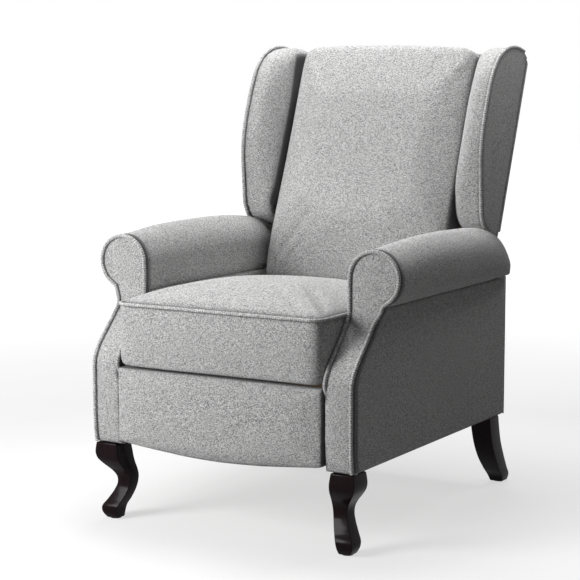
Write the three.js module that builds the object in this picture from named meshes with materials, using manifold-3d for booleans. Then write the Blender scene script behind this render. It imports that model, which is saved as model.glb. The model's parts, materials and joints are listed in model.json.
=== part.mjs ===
// Push-back wingback recliner: two rolled arms on four shaped legs, a seat that glides
// forward on swing links, a winged back hinged behind it, and a footrest on folding steel links.
// Millimetres, +Z up. The chair faces -Y and +X is the right-hand side seen from the front.
// While the pieces are made, y = 0 is the front of the arms; the last group moves the origin
// to the floor under the middle of the chair.
import * as THREE from "three";
import { mergeVertices } from "three/addons/utils/BufferGeometryUtils.js";
import Module from "manifold-3d";

const wasm = await Module();
wasm.setup();

// Whole chair
const legHeight = 176;
const seatingHalfWidth = 260;
const armDepth = 755;
const backSetback = 195;
const backFoot = armDepth - backSetback;
const middleDepth = 430.6;
const fitGap = 0.3;
const cutOverrun = 2;

// Arms: side board, frame, outer panel, front panel, padded roll
const boardThickness = 10;
const armThickness = 67;
const panelThickness = 10;
const frontPanelThickness = 14;
const armToe = 6;
const armBellyHeight = 258;
const armSweepLow = 353;
const armSweepHigh = 508;
const scrollSetback = 105;
const scrollRadius = 61;
const scrollHeight = 571;
const neckWidth = 82;
const neckLow = 470;
const rollInset = 2;
const rollOverhang = 7;
const frameBar = 42;
const pipingRadius = 3.5;
const rollStationShares = [0, 0.06, 0.16, 0.37, 0.56, 0.7, 0.8, 0.88, 0.94, 0.98, 1];
const rollHeightShares = [1, 1.02, 1.06, 1.1, 1.09, 1.05, 0.99, 0.87, 0.7, 0.48, 0.2];
const rollWidthShares = [1, 1, 1, 0.99, 0.97, 0.94, 0.9, 0.85, 0.78, 0.7, 0.6];

// Legs
const legTopHalf = 27.5;
const legCornerInset = 4;
const legChamferShare = 0.14;
const glideHeight = 3;
const glideRadius = 12;
const rearLegSetback = 50;
const cabrioleSweep = 32;
const sabreSweep = 88;
const cabrioleHeightShares = [1, 0.93, 0.86, 0.78, 0.7, 0.62, 0.54, 0.46, 0.36, 0.25, 0.15, 0.08, 0];
const cabrioleOffsetShares = [0, 0, 0.02, 0.14, 0.42, 0.76, 0.97, 0.98, 0.78, 0.4, 0, -0.03, 0.1];
const cabrioleHalfShares = [1, 1.06, 1.1, 1.06, 0.92, 0.76, 0.65, 0.61, 0.64, 0.7, 0.74, 0.68, 0.5];
const sabreHeightShares = [1, 0.8, 0.6, 0.4, 0.2, 0.08, 0];
const sabreOffsetShares = [0, 0.08, 0.22, 0.45, 0.76, 0.97, 1];
const sabreHalfShares = [0.92, 0.92, 0.9, 0.87, 0.78, 0.7, 0.56];

// Seat
const cushionHalfWidth = 249.5;
const seatFront = -16;
const seatBackGap = 12;
const seatRear = backFoot - seatBackGap;
const seatApronLow = 356;
const seatApronDepth = 54;
const seatWeltHeight = 494;
const seatCrown = 42;
const seatCornerRadius = 28;
const crownRiseShare = 0.45;
const seatFrameHigh = 408;
const seatFrameThickness = 45;
const seatFrameLow = seatFrameHigh - seatFrameThickness;
const seatFrameFront = 45;
const seatFrameInset = 3;
const seatFrameRear = seatRear - seatFrameInset;
const seatFrameBar = 42;
const springCount = 4;
const springWire = 1.7;
const springWave = 17;
const springWaves = 8;
const springTieShares = [0.36, 0.66];
const springTieWire = 1.3;
const weltReturn = 126;

// Back, in its own leaning frame: depth rearward, rise along the back
const backLean = 20.5;
const backFootHeight = 508;
const backHalfWidth = 243;
const backCushionLow = 12;
const backCushionHigh = 592;
const backCushionDepth = 84;
const backCrown = 20;
const lumbarDepth = 8;
const lumbarRise = 110;
const lumbarReach = 90;
const backCornerRadius = 40;
const backArch = 12;
const webbingThickness = 1.5;
const webbingWidth = 50;
const webbingShares = [0.24, 0.48, 0.72];
const backFrameHalfWidth = 245.9;
const backFrameThickness = 21.8;
const backFrameLow = -75;
const backFrameHigh = 582;
const backFrameBar = 48;
const backMiddleBar = 268;
const outerPanelThickness = 10.5;
const outerPanelNotch = 158;

// Wings
const wingOuter = 325;
const wingFrontThickness = 55;
const wingDepth = 170;
const wingLow = 150;
const wingHeight = 450;
const wingTaperShare = 0.62;
const wingEdgeInset = 9;
const wingOutlineShares = [
  [0, 0], [0.106, 0.009], [0.318, 0.018], [0.476, 0.029], [0.588, 0.058], [0.735, 0.144],
  [0.859, 0.233], [0.953, 0.333], [0.988, 0.444], [1, 0.556], [0.988, 0.667], [0.953, 0.778],
  [0.871, 0.862], [0.718, 0.924], [0.518, 0.969], [0.341, 0.993], [0.106, 1], [0, 0.987],
];

// Footrest
const footrestHalfWidth = 254;
const footrestHigh = 350;
const footrestLow = 166;
const footrestBelly = 20;
const footrestFront = -12;
const footrestPadBack = 21.4;
const footrestBoardThickness = 15;
const footrestCornerRadius = 10;
const boardInset = 12;

// Steel linkage: plates stacked inward from the arm, each in a layer of its own
const [baseLayer, swingLayer, railLayer, rockerLayer, guideLayer, driveLayer, outerLayer] = Array(7).keys();
const plateThickness = 3;
const plateGap = 0.5;
const pinRadius = 4;
const pinClearance = 0.3;
const linkHalfWidth = 9;
const railHalfWidth = 14;
const basePlateHalfWidth = 16;
const rockerSlack = 2.2;
const controlSlack = 2.6;
const controlHalfWidth = 7.8;
const drivePivot = [100, 393];
const driveEnd = [98, 190];
const outerLinkEnd = [60, 307];
const guideSpacing = 36;
const guideLead = 5;
const rockerPivot = [63.4, 350.6];
const rockerSpacing = 18;
const rockerTurn = 10;
const driveBow = 57;
const rockerBow = 22;
const bowShares = [0.2, 0.64];
const rockerBowShares = [0.18, 0.8];
const swingLength = 70;
const swingLean = 35;
const swingDrop = 20;
const swingTopHeight = seatFrameHigh - swingDrop;
const frontSwingDepth = 240;
const rearSwingSetback = 40;
const rearSwingDepth = backFoot + rearSwingSetback;
const reclineSetback = 100;
const reclineHeight = 418;
const reclinePivot = [backFoot + reclineSetback, reclineHeight];
const controlLead = 8.3;
const controlHeight = 410.2;
const controlPivot = [backFoot - controlLead, controlHeight];
const controlEndSetback = 65;
const controlRise = 29.8;
const controlEnd = [backFoot + controlEndSetback, controlHeight + controlRise];
const bracketTop = 128;
const bracketKnee = -15;
const bracketDepth = 97;
const footBracketDepth = 46;
const footBracketHigh = 262;
const footBracketLow = 215;
const railFront = 85;
const spacerRadius = 10;
const frontSpacerDepth = 320;
const rearSpacerLead = 80;
const spacerDepths = [frontSpacerDepth, backFoot - rearSpacerLead];
const torqueTubeHalf = 8;
const torqueTubePlace = [157, 303];

// Base cross members
const crossRailThickness = 22;
const crossRailLow = 180;
const crossRailHigh = 236;
const frontCrossRailDepth = 168;
const rearCrossRailSetback = 55;
const rearPanelThickness = 8;
const rearPanelHigh = 500;

// Materials
const fabricLight = { color: 0x9b9b9c, roughness: 0.95, metalness: 0 };
const fabricTrim = { color: 0x8c8c8e, roughness: 0.95, metalness: 0 };
const woodDark = { color: 0x1d1012, roughness: 0.35, metalness: 0 };
const woodPlain = { color: 0xb99866, roughness: 0.8, metalness: 0 };
const steelDark = { color: 0x2b2c2f, roughness: 0.5, metalness: 0.8 };
const steelBright = { color: 0x9fa2a6, roughness: 0.35, metalness: 0.9 };
const webbingDark = { color: 0x2f2f31, roughness: 0.9, metalness: 0 };

const chair = new THREE.Group();

// Small geometry tools

function outward(geometry) {
  const position = geometry.attributes.position;
  const index = geometry.index.array;
  const a = new THREE.Vector3();
  const b = new THREE.Vector3();
  const c = new THREE.Vector3();
  let volume = 0;
  for (let i = 0; i < index.length; i += 3) {
    a.fromBufferAttribute(position, index[i]);
    b.fromBufferAttribute(position, index[i + 1]);
    c.fromBufferAttribute(position, index[i + 2]);
    volume += a.dot(b.cross(c));
  }
  return volume < 0 ? flipped(geometry) : geometry;
}

function flipped(geometry) {
  const index = geometry.index.array;
  for (let i = 0; i < index.length; i += 3) {
    const first = index[i];
    index[i] = index[i + 1];
    index[i + 1] = first;
  }
  return geometry;
}

function bare(geometry) {
  const copy = geometry.clone();
  copy.deleteAttribute("normal");
  copy.deleteAttribute("uv");
  return mergeVertices(copy, fitGap / 1000);
}

function mirrored(geometry) {
  return flipped(bare(geometry).scale(-1, 1, 1));
}

function solid(geometry) {
  const plain = bare(geometry);
  return new wasm.Manifold(new wasm.Mesh({
    numProp: 3,
    vertProperties: new Float32Array(plain.attributes.position.array),
    triVerts: new Uint32Array(plain.index.array),
  }));
}

function fromSolid(body) {
  const mesh = body.getMesh();
  const geometry = new THREE.BufferGeometry();
  geometry.setAttribute("position", new THREE.BufferAttribute(new Float32Array(mesh.vertProperties), 3));
  geometry.setIndex(new THREE.BufferAttribute(new Uint32Array(mesh.triVerts), 1));
  return geometry;
}

function joined(geometries) {
  return fromSolid(geometries.map(solid).reduce((all, next) => all.add(next)).simplify(fitGap / 30));
}

function cut(geometry, cutters) {
  return fromSolid(cutters.map(solid).reduce((all, next) => all.subtract(next), solid(geometry)));
}

function box(x0, x1, y0, y1, z0, z1) {
  const geometry = new THREE.BoxGeometry(x1 - x0, y1 - y0, z1 - z0);
  return bare(geometry.translate((x0 + x1) / 2, (y0 + y1) / 2, (z0 + z1) / 2));
}

function sideways(geometry, x0) {
  const turn = new THREE.Matrix4().makeBasis(
    new THREE.Vector3(0, 1, 0), new THREE.Vector3(0, 0, 1), new THREE.Vector3(1, 0, 0));
  return geometry.applyMatrix4(turn).translate(x0, 0, 0);
}

function extrudeAcross(shape, x0, x1, curveSegments = 6) {
  const options = { depth: x1 - x0, bevelEnabled: false, curveSegments };
  return sideways(bare(new THREE.ExtrudeGeometry(shape, options)), x0);
}

function pinAcross(place, radius, x0, x1) {
  const shape = new THREE.Shape().absarc(place[0], place[1], radius, 0, 2 * Math.PI, false);
  return extrudeAcross(shape, x0, x1, 5);
}

function loft(rings, topPoint = null) {
  const count = rings[0].length;
  const points = rings.flat();
  const index = [];
  for (let row = 0; row + 1 < rings.length; row += 1) {
    for (let i = 0; i < count; i += 1) {
      const a = row * count + i;
      const b = row * count + (i + 1) % count;
      index.push(a, b, b + count, a, b + count, a + count);
    }
  }
  const middle = (ring) => ring.reduce((sum, p) => sum.add(p), new THREE.Vector3()).divideScalar(count);
  points.push(middle(rings[0]), topPoint ?? middle(rings.at(-1)));
  const last = (rings.length - 1) * count;
  for (let i = 0; i < count; i += 1) {
    const next = (i + 1) % count;
    index.push(points.length - 2, next, i, points.length - 1, last + i, last + next);
  }
  const geometry = new THREE.BufferGeometry().setFromPoints(points);
  geometry.setIndex(index);
  return outward(geometry);
}

function tube(points, radius, steps, sides, tension = 0.5) {
  const path = new THREE.CatmullRomCurve3(points, false, "catmullrom", tension);
  const section = new THREE.Shape();
  for (let i = 0; i < sides; i += 1) {
    const turn = 2 * Math.PI * i / sides;
    const move = i === 0 ? "moveTo" : "lineTo";
    section[move](radius * Math.cos(turn), radius * Math.sin(turn));
  }
  section.closePath();
  const geometry = new THREE.ExtrudeGeometry(section, { steps, extrudePath: path, bevelEnabled: false });
  return outward(bare(geometry));
}

function smooth(share) {
  const t = THREE.MathUtils.clamp(share, 0, 1);
  return t * t * (3 - 2 * t);
}

function add(name, geometry, finish) {
  const mesh = new THREE.Mesh(geometry, new THREE.MeshStandardMaterial(finish));
  mesh.name = name;
  chair.add(mesh);
  return mesh;
}

function addPair(name, geometry, finish) {
  add(`right_${name}`, bare(geometry), finish);
  add(`left_${name}`, mirrored(geometry), finish);
}

// Arms

const armOuter = seatingHalfWidth + armThickness;
const rollInner = seatingHalfWidth - rollInset;
const rollCentre = rollInner + scrollRadius;
const neckOuter = seatingHalfWidth + neckWidth;
const neckHeight = scrollHeight - Math.sqrt(scrollRadius ** 2 - (neckOuter - rollCentre) ** 2);
const panelTop = scrollHeight + scrollRadius;
const behindPanel = frontPanelThickness + fitGap;
const slabHeights = [...levels(legHeight, neckLow, 12), ...levels(neckLow, armSweepHigh, 3).slice(1)];

function armFront(z) {
  const below = Math.max(0, (armBellyHeight - z) / (armBellyHeight - legHeight));
  const sweep = smooth((z - armSweepLow) / (armSweepHigh - armSweepLow));
  return armToe * below * below + scrollSetback * sweep;
}

function levels(low, high, count) {
  return Array.from({ length: count + 1 }, (_, i) => low + (high - low) * i / count);
}

// The side view of an arm's flat parts: the front edge follows the sweep of the front panel.
function armOutline() {
  const shape = new THREE.Shape();
  shape.moveTo(armDepth, legHeight);
  shape.lineTo(armDepth, armSweepHigh);
  slabHeights.toReversed().forEach((z) => shape.lineTo(armFront(z) + behindPanel, z));
  shape.closePath();
  return shape;
}

function makeArms() {
  const inner = seatingHalfWidth + boardThickness;
  addPair("side_board", extrudeAcross(armOutline(), seatingHalfWidth, inner), woodPlain);
  addPair("outer_arm_panel", extrudeAcross(armOutline(), armOuter - panelThickness, armOuter), fabricLight);

  const outline = armOutline();
  const window = new THREE.Path();
  window.moveTo(armDepth - frameBar, legHeight + frameBar);
  levels(legHeight + frameBar, armSweepHigh - frameBar, 8)
    .forEach((z) => window.lineTo(armFront(z) + behindPanel + frameBar, z));
  window.lineTo(armDepth - frameBar, armSweepHigh - frameBar);
  window.closePath();
  outline.holes.push(window);
  addPair("arm_frame", extrudeAcross(outline, inner + fitGap, armOuter - panelThickness - fitGap), woodPlain);

  addPair("arm_front_panel", frontPanel(), fabricLight);
  addPair("arm_roll", armRoll(), fabricLight);
}

function panelSpan(z) {
  const reach = Math.sqrt(Math.max(0, scrollRadius ** 2 - (z - scrollHeight) ** 2));
  if (z >= scrollHeight) {
    return [rollCentre - reach, rollCentre + reach];
  }
  const flare = smooth((z - neckLow) / (neckHeight - neckLow));
  const outer = z > neckHeight ? rollCentre + reach : armOuter + (neckOuter - armOuter) * flare;
  return [rollInner, outer];
}

function panelHeights() {
  const side = levels(neckHeight, scrollHeight, 4).slice(1);
  const turns = levels(0, Math.PI / 2, 7).slice(1, -1);
  return [...slabHeights, neckHeight, ...side, ...turns.map((turn) => scrollHeight + scrollRadius * Math.sin(turn))];
}

function frontPanel() {
  const rings = panelHeights().map((z) => {
    const [left, right] = panelSpan(z);
    const front = armFront(z);
    const back = front + frontPanelThickness;
    return [
      new THREE.Vector3(left, front, z), new THREE.Vector3(right, front, z),
      new THREE.Vector3(right, back, z), new THREE.Vector3(left, back, z),
    ];
  });
  const tip = new THREE.Vector3(rollCentre, scrollSetback + frontPanelThickness / 2, panelTop);
  return loft(rings, tip);
}

function armRoll() {
  const start = scrollSetback + frontPanelThickness + fitGap;
  const length = armDepth + rollOverhang - start;
  const base = armSweepHigh + fitGap;
  const lower = -Math.acos((neckOuter - rollCentre) / scrollRadius);
  const section = [[rollInner + rollInset + fitGap, base], [rollInner, scrollHeight]];
  levels(Math.PI, lower, 11).slice(1).forEach((turn) => {
    section.push([rollCentre + scrollRadius * Math.cos(turn), scrollHeight + scrollRadius * Math.sin(turn)]);
  });
  section.push([armOuter, base]);
  const rings = rollStationShares.map((share, i) => section.map(([x, z]) => new THREE.Vector3(
    seatingHalfWidth + (x - seatingHalfWidth) * rollWidthShares[i],
    start + length * share,
    base + (z - base) * rollHeightShares[i],
  )));
  return loft(rings);
}

function makeArmPiping() {
  const proud = pipingRadius + 2 * fitGap;
  const reach = scrollRadius - pipingRadius;
  const outer = slabHeights.map((z) => [panelSpan(z)[1] - pipingRadius, z]);
  const scroll = levels(-Math.acos((neckOuter - rollCentre) / scrollRadius), Math.PI, 12)
    .map((turn) => [rollCentre + reach * Math.cos(turn), scrollHeight + reach * Math.sin(turn)]);
  const inner = slabHeights.toReversed().map((z) => [rollInner + pipingRadius, z]);
  const run = [...outer, ...scroll, ...inner].map(([x, z]) => {
    const slope = (armFront(z + fitGap) - armFront(z - fitGap)) / (2 * fitGap);
    const steep = Math.hypot(1, slope);
    return new THREE.Vector3(x, armFront(z) - proud / steep, z + proud * slope / steep);
  });
  addPair("arm_piping", tube(run, pipingRadius, 48, 5), fabricTrim);
}

// Legs

function squareSection(x, y, z, half) {
  const chamfer = half * legChamferShare;
  const corners = [[1, 1], [-1, 1], [-1, -1], [1, -1]];
  return corners.flatMap(([sx, sy]) => {
    const near = new THREE.Vector3(x + sx * half, y + sy * (half - chamfer), z);
    const far = new THREE.Vector3(x + sx * (half - chamfer), y + sy * half, z);
    return sx * sy > 0 ? [near, far] : [far, near];
  });
}

// The glide is one piece with its leg and reaches a little way up into it.
function glide(x, y) {
  const high = glideHeight + cutOverrun;
  return new THREE.CylinderGeometry(glideRadius, glideRadius, high, 16).rotateX(Math.PI / 2)
    .translate(x, y, high / 2);
}

function makeLegs() {
  const top = legHeight - fitGap;
  const bottom = glideHeight;
  const across = armOuter - legTopHalf - fitGap;
  const frontPlace = [across, legCornerInset + legTopHalf];
  const rearPlace = [across, armDepth - rearLegSetback];
  const diagonal = Math.SQRT1_2;
  const front = cabrioleHeightShares.map((share, i) => {
    const inward = cabrioleSweep * cabrioleOffsetShares[i] * diagonal;
    return squareSection(frontPlace[0] - inward, frontPlace[1] + inward, bottom + (top - bottom) * share,
      legTopHalf * cabrioleHalfShares[i]);
  });
  const rear = sabreHeightShares.map((share, i) => squareSection(rearPlace[0],
    rearPlace[1] + sabreSweep * sabreOffsetShares[i], bottom + (top - bottom) * share,
    legTopHalf * sabreHalfShares[i]));
  const frontFoot = cabrioleSweep * cabrioleOffsetShares.at(-1) * diagonal;
  const frontGlide = glide(frontPlace[0] - frontFoot, frontPlace[1] + frontFoot);
  const rearGlide = glide(rearPlace[0], rearPlace[1] + sabreSweep);
  addPair("front_leg", joined([loft(front), frontGlide]), woodDark);
  addPair("rear_leg", joined([loft(rear), rearGlide]), woodDark);
}

// Cross members of the base

function makeBaseRails() {
  const half = seatingHalfWidth - fitGap;
  const rearDepth = armDepth - rearCrossRailSetback;
  add("front_stretcher", box(-half, half, frontCrossRailDepth, frontCrossRailDepth + crossRailThickness,
    crossRailLow, crossRailHigh), woodPlain);
  add("rear_stretcher", box(-half, half, rearDepth, rearDepth + crossRailThickness,
    crossRailLow, crossRailHigh), woodPlain);
  add("rear_lower_panel", box(-half, half, armDepth - rearPanelThickness, armDepth, legHeight, rearPanelHigh),
    fabricLight);
}

// Seat

function roundedOutline(x0, x1, y0, y1, radii, arcSteps) {
  const corners = [
    [x1, y0, radii[0], -Math.PI / 2], [x1, y1, radii[1], 0],
    [x0, y1, radii[1], Math.PI / 2], [x0, y0, radii[0], Math.PI],
  ];
  return corners.flatMap(([x, y, radius, from]) => {
    const centreX = x + (x > (x0 + x1) / 2 ? -radius : radius);
    const centreY = y + (y > (y0 + y1) / 2 ? -radius : radius);
    return levels(from, from + Math.PI / 2, arcSteps)
      .map((turn) => [centreX + radius * Math.cos(turn), centreY + radius * Math.sin(turn)]);
  });
}

// More points along the long straight sides, so that a crowned face can bend.
function subdivided(outline, longest) {
  return outline.flatMap((point, i) => {
    const next = outline[(i + 1) % outline.length];
    const parts = Math.max(1, Math.ceil(Math.hypot(next[0] - point[0], next[1] - point[1]) / longest));
    return Array.from({ length: parts }, (_, k) => [
      point[0] + (next[0] - point[0]) * k / parts, point[1] + (next[1] - point[1]) * k / parts]);
  });
}

function drawnIn(outline, centre, inset, halfSizes) {
  const shares = halfSizes.map((half) => (half - inset) / half);
  return outline.map(([a, b]) => [
    centre[0] + (a - centre[0]) * shares[0], centre[1] + (b - centre[1]) * shares[1]]);
}

function makeSeat() {
  const middle = [0, (seatFront + seatRear) / 2];
  const halves = [cushionHalfWidth, (seatRear - seatFront) / 2];
  const outline = subdivided(roundedOutline(-cushionHalfWidth, cushionHalfWidth, seatFront, seatRear,
    [seatCornerRadius, seatCornerRadius / 2], 4), seatCornerRadius * 4);
  const seamInset = seatCornerRadius / 9;
  const rows = [
    [seatApronLow, 2 * seamInset], [seatApronLow + seatCornerRadius / 2, 0],
    [seatWeltHeight - seatCornerRadius / 2, 0], [seatWeltHeight, seamInset],
  ];
  const crownShares = [0.07, 0.18, 0.34, 0.56, 0.8];
  crownShares.forEach((share) => {
    rows.push([seatWeltHeight + seatCrown * Math.sin(share ** crownRiseShare * Math.PI / 2), halves[0] * share]);
  });
  const rings = rows.map(([z, inset]) => drawnIn(outline, middle, inset, halves)
    .map(([x, y]) => new THREE.Vector3(x, y, z)));
  const whole = loft(rings, new THREE.Vector3(0, middle[1], seatWeltHeight + seatCrown));
  const below = box(-seatingHalfWidth, seatingHalfWidth, seatFront + seatApronDepth, armDepth,
    seatApronLow - cutOverrun, seatFrameHigh + fitGap);
  add("seat_cushion", cut(whole, [below]), fabricLight);

  const weltAcross = cushionHalfWidth - seamInset + pipingRadius + 2 * fitGap;
  const weltFront = seatFront + seamInset - pipingRadius - 2 * fitGap;
  const corner = roundedOutline(-weltAcross, weltAcross, weltFront, weltFront + weltAcross,
    [seatCornerRadius, seatCornerRadius], 4);
  const rightCorner = corner.slice(0, 5);
  const leftCorner = corner.slice(-5);
  const run = [[-weltAcross, weltFront + weltReturn], ...leftCorner, ...rightCorner,
    [weltAcross, weltFront + weltReturn]].map(([x, y]) => new THREE.Vector3(x, y, seatWeltHeight));
  add("seat_welt", tube(run, pipingRadius, 40, 6, 0), fabricTrim);

  const frameHalf = layerInner(outerLayer) - 2 * plateGap;
  const outer = new THREE.Shape();
  outer.moveTo(-frameHalf, seatFrameFront);
  outer.lineTo(frameHalf, seatFrameFront);
  outer.lineTo(frameHalf, seatFrameRear);
  outer.lineTo(-frameHalf, seatFrameRear);
  outer.closePath();
  const window = new THREE.Path();
  const windowHalf = frameHalf - seatFrameBar;
  window.moveTo(-windowHalf, seatFrameFront + seatFrameBar);
  window.lineTo(-windowHalf, seatFrameRear - seatFrameBar);
  window.lineTo(windowHalf, seatFrameRear - seatFrameBar);
  window.lineTo(windowHalf, seatFrameFront + seatFrameBar);
  window.closePath();
  outer.holes.push(window);
  const frame = new THREE.ExtrudeGeometry(outer, { depth: seatFrameHigh - seatFrameLow, bevelEnabled: false });
  add("seat_frame", bare(frame.translate(0, 0, seatFrameLow)), woodPlain);

  const windowFront = seatFrameFront + seatFrameBar + springWire;
  const windowRear = seatFrameRear - seatFrameBar - springWire;
  const springs = Array.from({ length: springCount }, (_, i) => {
    const x = windowHalf * (2 * (i + 0.5) / springCount - 1);
    const run = levels(0, springWaves, springWaves * 2).map((turn, k) => new THREE.Vector3(
      x + springWave * Math.sign(x) * (k % 2 === 0 ? 0 : Math.cos(turn * Math.PI - Math.PI / 2)),
      windowFront + (windowRear - windowFront) * turn / springWaves,
      seatFrameHigh - springWire));
    return tube(run, springWire, springWaves * 4, 4);
  });
  const ties = springTieShares.map((share) => {
    const depth = windowFront + (windowRear - windowFront) * share;
    const height = seatFrameHigh - springTieWire - fitGap;
    const ends = [-1, 1].map((side) => new THREE.Vector3(side * (windowHalf - fitGap), depth, height));
    return tube(ends, springTieWire, 1, 5);
  });
  add("seat_springs", joined([...springs, ...ties]), steelBright);
}

// Back and wings, made upright in a frame that then leans: x across, depth rearward, rise upward

const lean = THREE.MathUtils.degToRad(backLean);

function leaned(geometry) {
  return bare(geometry).rotateX(-lean).translate(0, backFoot, backFootHeight);
}

function extrudeBack(shape, depth0, depth1) {
  const options = { depth: depth1 - depth0, bevelEnabled: false, curveSegments: 5 };
  return new THREE.ExtrudeGeometry(shape, options).rotateX(Math.PI / 2).translate(0, depth1, 0);
}

function arched(x, high) {
  return high - backArch * (x / backHalfWidth) ** 2;
}

function makeBack() {
  const middle = [0, (backCushionLow + backCushionHigh) / 2];
  const halves = [backHalfWidth, (backCushionHigh - backCushionLow) / 2];
  const outline = subdivided(roundedOutline(-backHalfWidth, backHalfWidth, backCushionLow, backCushionHigh,
    [backCornerRadius / 2, backCornerRadius], 4), 2 * backCornerRadius)
    .map(([x, rise]) => [x, rise > middle[1] ? rise + arched(x, 0) : rise]);
  const seam = backCornerRadius / 8;
  const rows = [
    [backCushionDepth, seam], [backCushionDepth - 2 * seam, 0], [4 * seam, 0], [seam, seam],
    [-backCrown * 0.25, 3 * seam], [-backCrown * 0.6, 8 * seam], [-backCrown * 0.88, 18 * seam],
  ];
  const rings = rows.map(([depth, inset], i) => drawnIn(outline, middle, inset, halves).map(([x, rise]) => {
    const bulge = i < 3 ? 0 : lumbarDepth * Math.exp(-(((rise - lumbarRise) / lumbarReach) ** 2));
    return new THREE.Vector3(x, depth - bulge, rise);
  }));
  const cushion = loft(rings, new THREE.Vector3(0, -backCrown, middle[1]));
  add("back_cushion", leaned(cushion), fabricLight);

  const strapDepth = backCushionDepth + fitGap;
  const straps = webbingShares.map((share) => {
    const rise = backFrameLow + (backFrameHigh - backFrameLow) * share;
    return box(-backHalfWidth, backHalfWidth, strapDepth, strapDepth + webbingThickness,
      rise, rise + webbingWidth);
  });
  const upright = box(-webbingWidth / 2, webbingWidth / 2, strapDepth, strapDepth + webbingThickness,
    backFrameLow + backFrameBar / 2, backFrameHigh - backFrameBar / 2);
  add("back_webbing", leaned(joined([...straps, upright])), webbingDark);

  const frameFront = strapDepth + webbingThickness + fitGap;
  const frameBack = frameFront + backFrameThickness;
  const frame = new THREE.Shape();
  frame.moveTo(-backFrameHalfWidth, backFrameLow);
  frame.lineTo(backFrameHalfWidth, backFrameLow);
  frame.lineTo(backFrameHalfWidth, backFrameHigh);
  frame.lineTo(-backFrameHalfWidth, backFrameHigh);
  frame.closePath();
  const windowHalf = backFrameHalfWidth - backFrameBar;
  const spans = [
    [backFrameLow + backFrameBar, backMiddleBar],
    [backMiddleBar + backFrameBar, backFrameHigh - backFrameBar],
  ];
  spans.forEach(([low, high]) => {
    const window = new THREE.Path();
    window.moveTo(-windowHalf, low);
    window.lineTo(-windowHalf, high);
    window.lineTo(windowHalf, high);
    window.lineTo(windowHalf, low);
    window.closePath();
    frame.holes.push(window);
  });
  add("back_frame", leaned(extrudeBack(frame, frameFront, frameBack)), woodPlain);

  const cover = new THREE.Shape();
  const panelHigh = wingLow + wingHeight;
  cover.moveTo(-backFrameHalfWidth, backFrameLow);
  cover.lineTo(backFrameHalfWidth, backFrameLow);
  cover.lineTo(backFrameHalfWidth, outerPanelNotch);
  cover.lineTo(wingOuter, outerPanelNotch);
  cover.lineTo(wingOuter, panelHigh - backArch);
  levels(1, -1, 10).forEach((share) => cover.lineTo(share * (wingOuter - backArch), arched(share * backHalfWidth,
    panelHigh)));
  cover.lineTo(-wingOuter, panelHigh - backArch);
  cover.lineTo(-wingOuter, outerPanelNotch);
  cover.lineTo(-backFrameHalfWidth, outerPanelNotch);
  cover.closePath();
  const coverFront = frameBack + fitGap;
  add("back_outer_panel", leaned(extrudeBack(cover, coverFront, coverFront + outerPanelThickness)), fabricLight);
}

// A closed outline, clockwise, moved outward by a set distance along its corners' bisectors.
function outset(outline, distance) {
  const count = outline.length;
  return outline.map((point, i) => {
    const before = outline[(i + count - 1) % count];
    const after = outline[(i + 1) % count];
    const arriving = Math.atan2(point[1] - before[1], point[0] - before[0]);
    const leaving = Math.atan2(after[1] - point[1], after[0] - point[0]);
    const half = Math.atan2(Math.sin(leaving - arriving), Math.cos(leaving - arriving)) / 2;
    const away = arriving + half + Math.PI / 2;
    const reach = distance / Math.cos(half);
    return [point[0] + reach * Math.cos(away), point[1] + reach * Math.sin(away)];
  });
}

function makeWings() {
  const rear = backCushionDepth + webbingThickness + backFrameThickness + 2 * fitGap;
  const outline = wingOutlineShares.map(([depth, rise]) => [rear - depth * wingDepth, wingLow + rise * wingHeight]);
  const boardInner = wingOuter - boardThickness;
  const shape = new THREE.Shape(outline.map(([depth, rise]) => new THREE.Vector2(depth, rise)));
  addPair("wing_board", leaned(extrudeAcross(shape, boardInner, wingOuter)), fabricLight);

  const padOuter = boardInner - fitGap;
  const edgeInner = wingOuter - wingFrontThickness;
  const rootInner = backFrameHalfWidth + fitGap;
  const centre = [rear - wingDepth * wingTaperShare, wingLow + wingHeight / 2];
  const halves = [wingDepth / 2, wingHeight / 2];
  const rows = [[0, 0], [0.6, 0], [0.88, wingEdgeInset / 3], [1, wingEdgeInset]];
  const innerFace = (depth) => edgeInner - (edgeInner - rootInner) * smooth((depth + rear / 2) / (rear / 2));
  const rings = rows.map(([share, inset]) => drawnIn(outline, centre, inset, halves).map(([depth, rise]) => {
    const held = Math.min(depth, rear);
    return new THREE.Vector3(padOuter - share * (padOuter - innerFace(held)), held, rise);
  }));
  const middle = new THREE.Vector3(innerFace(centre[0]), centre[0], centre[1]);
  addPair("wing_pad", leaned(loft(rings, middle)), fabricLight);

  const edge = outset(outline, pipingRadius + 4 * fitGap).slice(3, -2)
    .map(([depth, rise]) => new THREE.Vector3(wingOuter - pipingRadius, depth, rise));
  addPair("wing_piping", leaned(tube(edge, pipingRadius, 34, 5, 0)), fabricTrim);
}

// Footrest

function footrestOutline(inset, steps) {
  const across = footrestHalfWidth - inset;
  const low = (x) => footrestLow + inset + footrestBelly * (x / footrestHalfWidth) ** 2;
  const corner = footrestCornerRadius;
  const high = footrestHigh - inset;
  const bottom = levels(-across + corner, across - corner, steps).map((x) => [x, low(x)]);
  return [...bottom, [across, low(across) + corner], [across, high - corner], [across - corner, high],
    ...levels(across - corner, -across + corner, 5).slice(1, -1).map((x) => [x, high]),
    [-across + corner, high], [-across, high - corner], [-across, low(across) + corner]];
}

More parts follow.
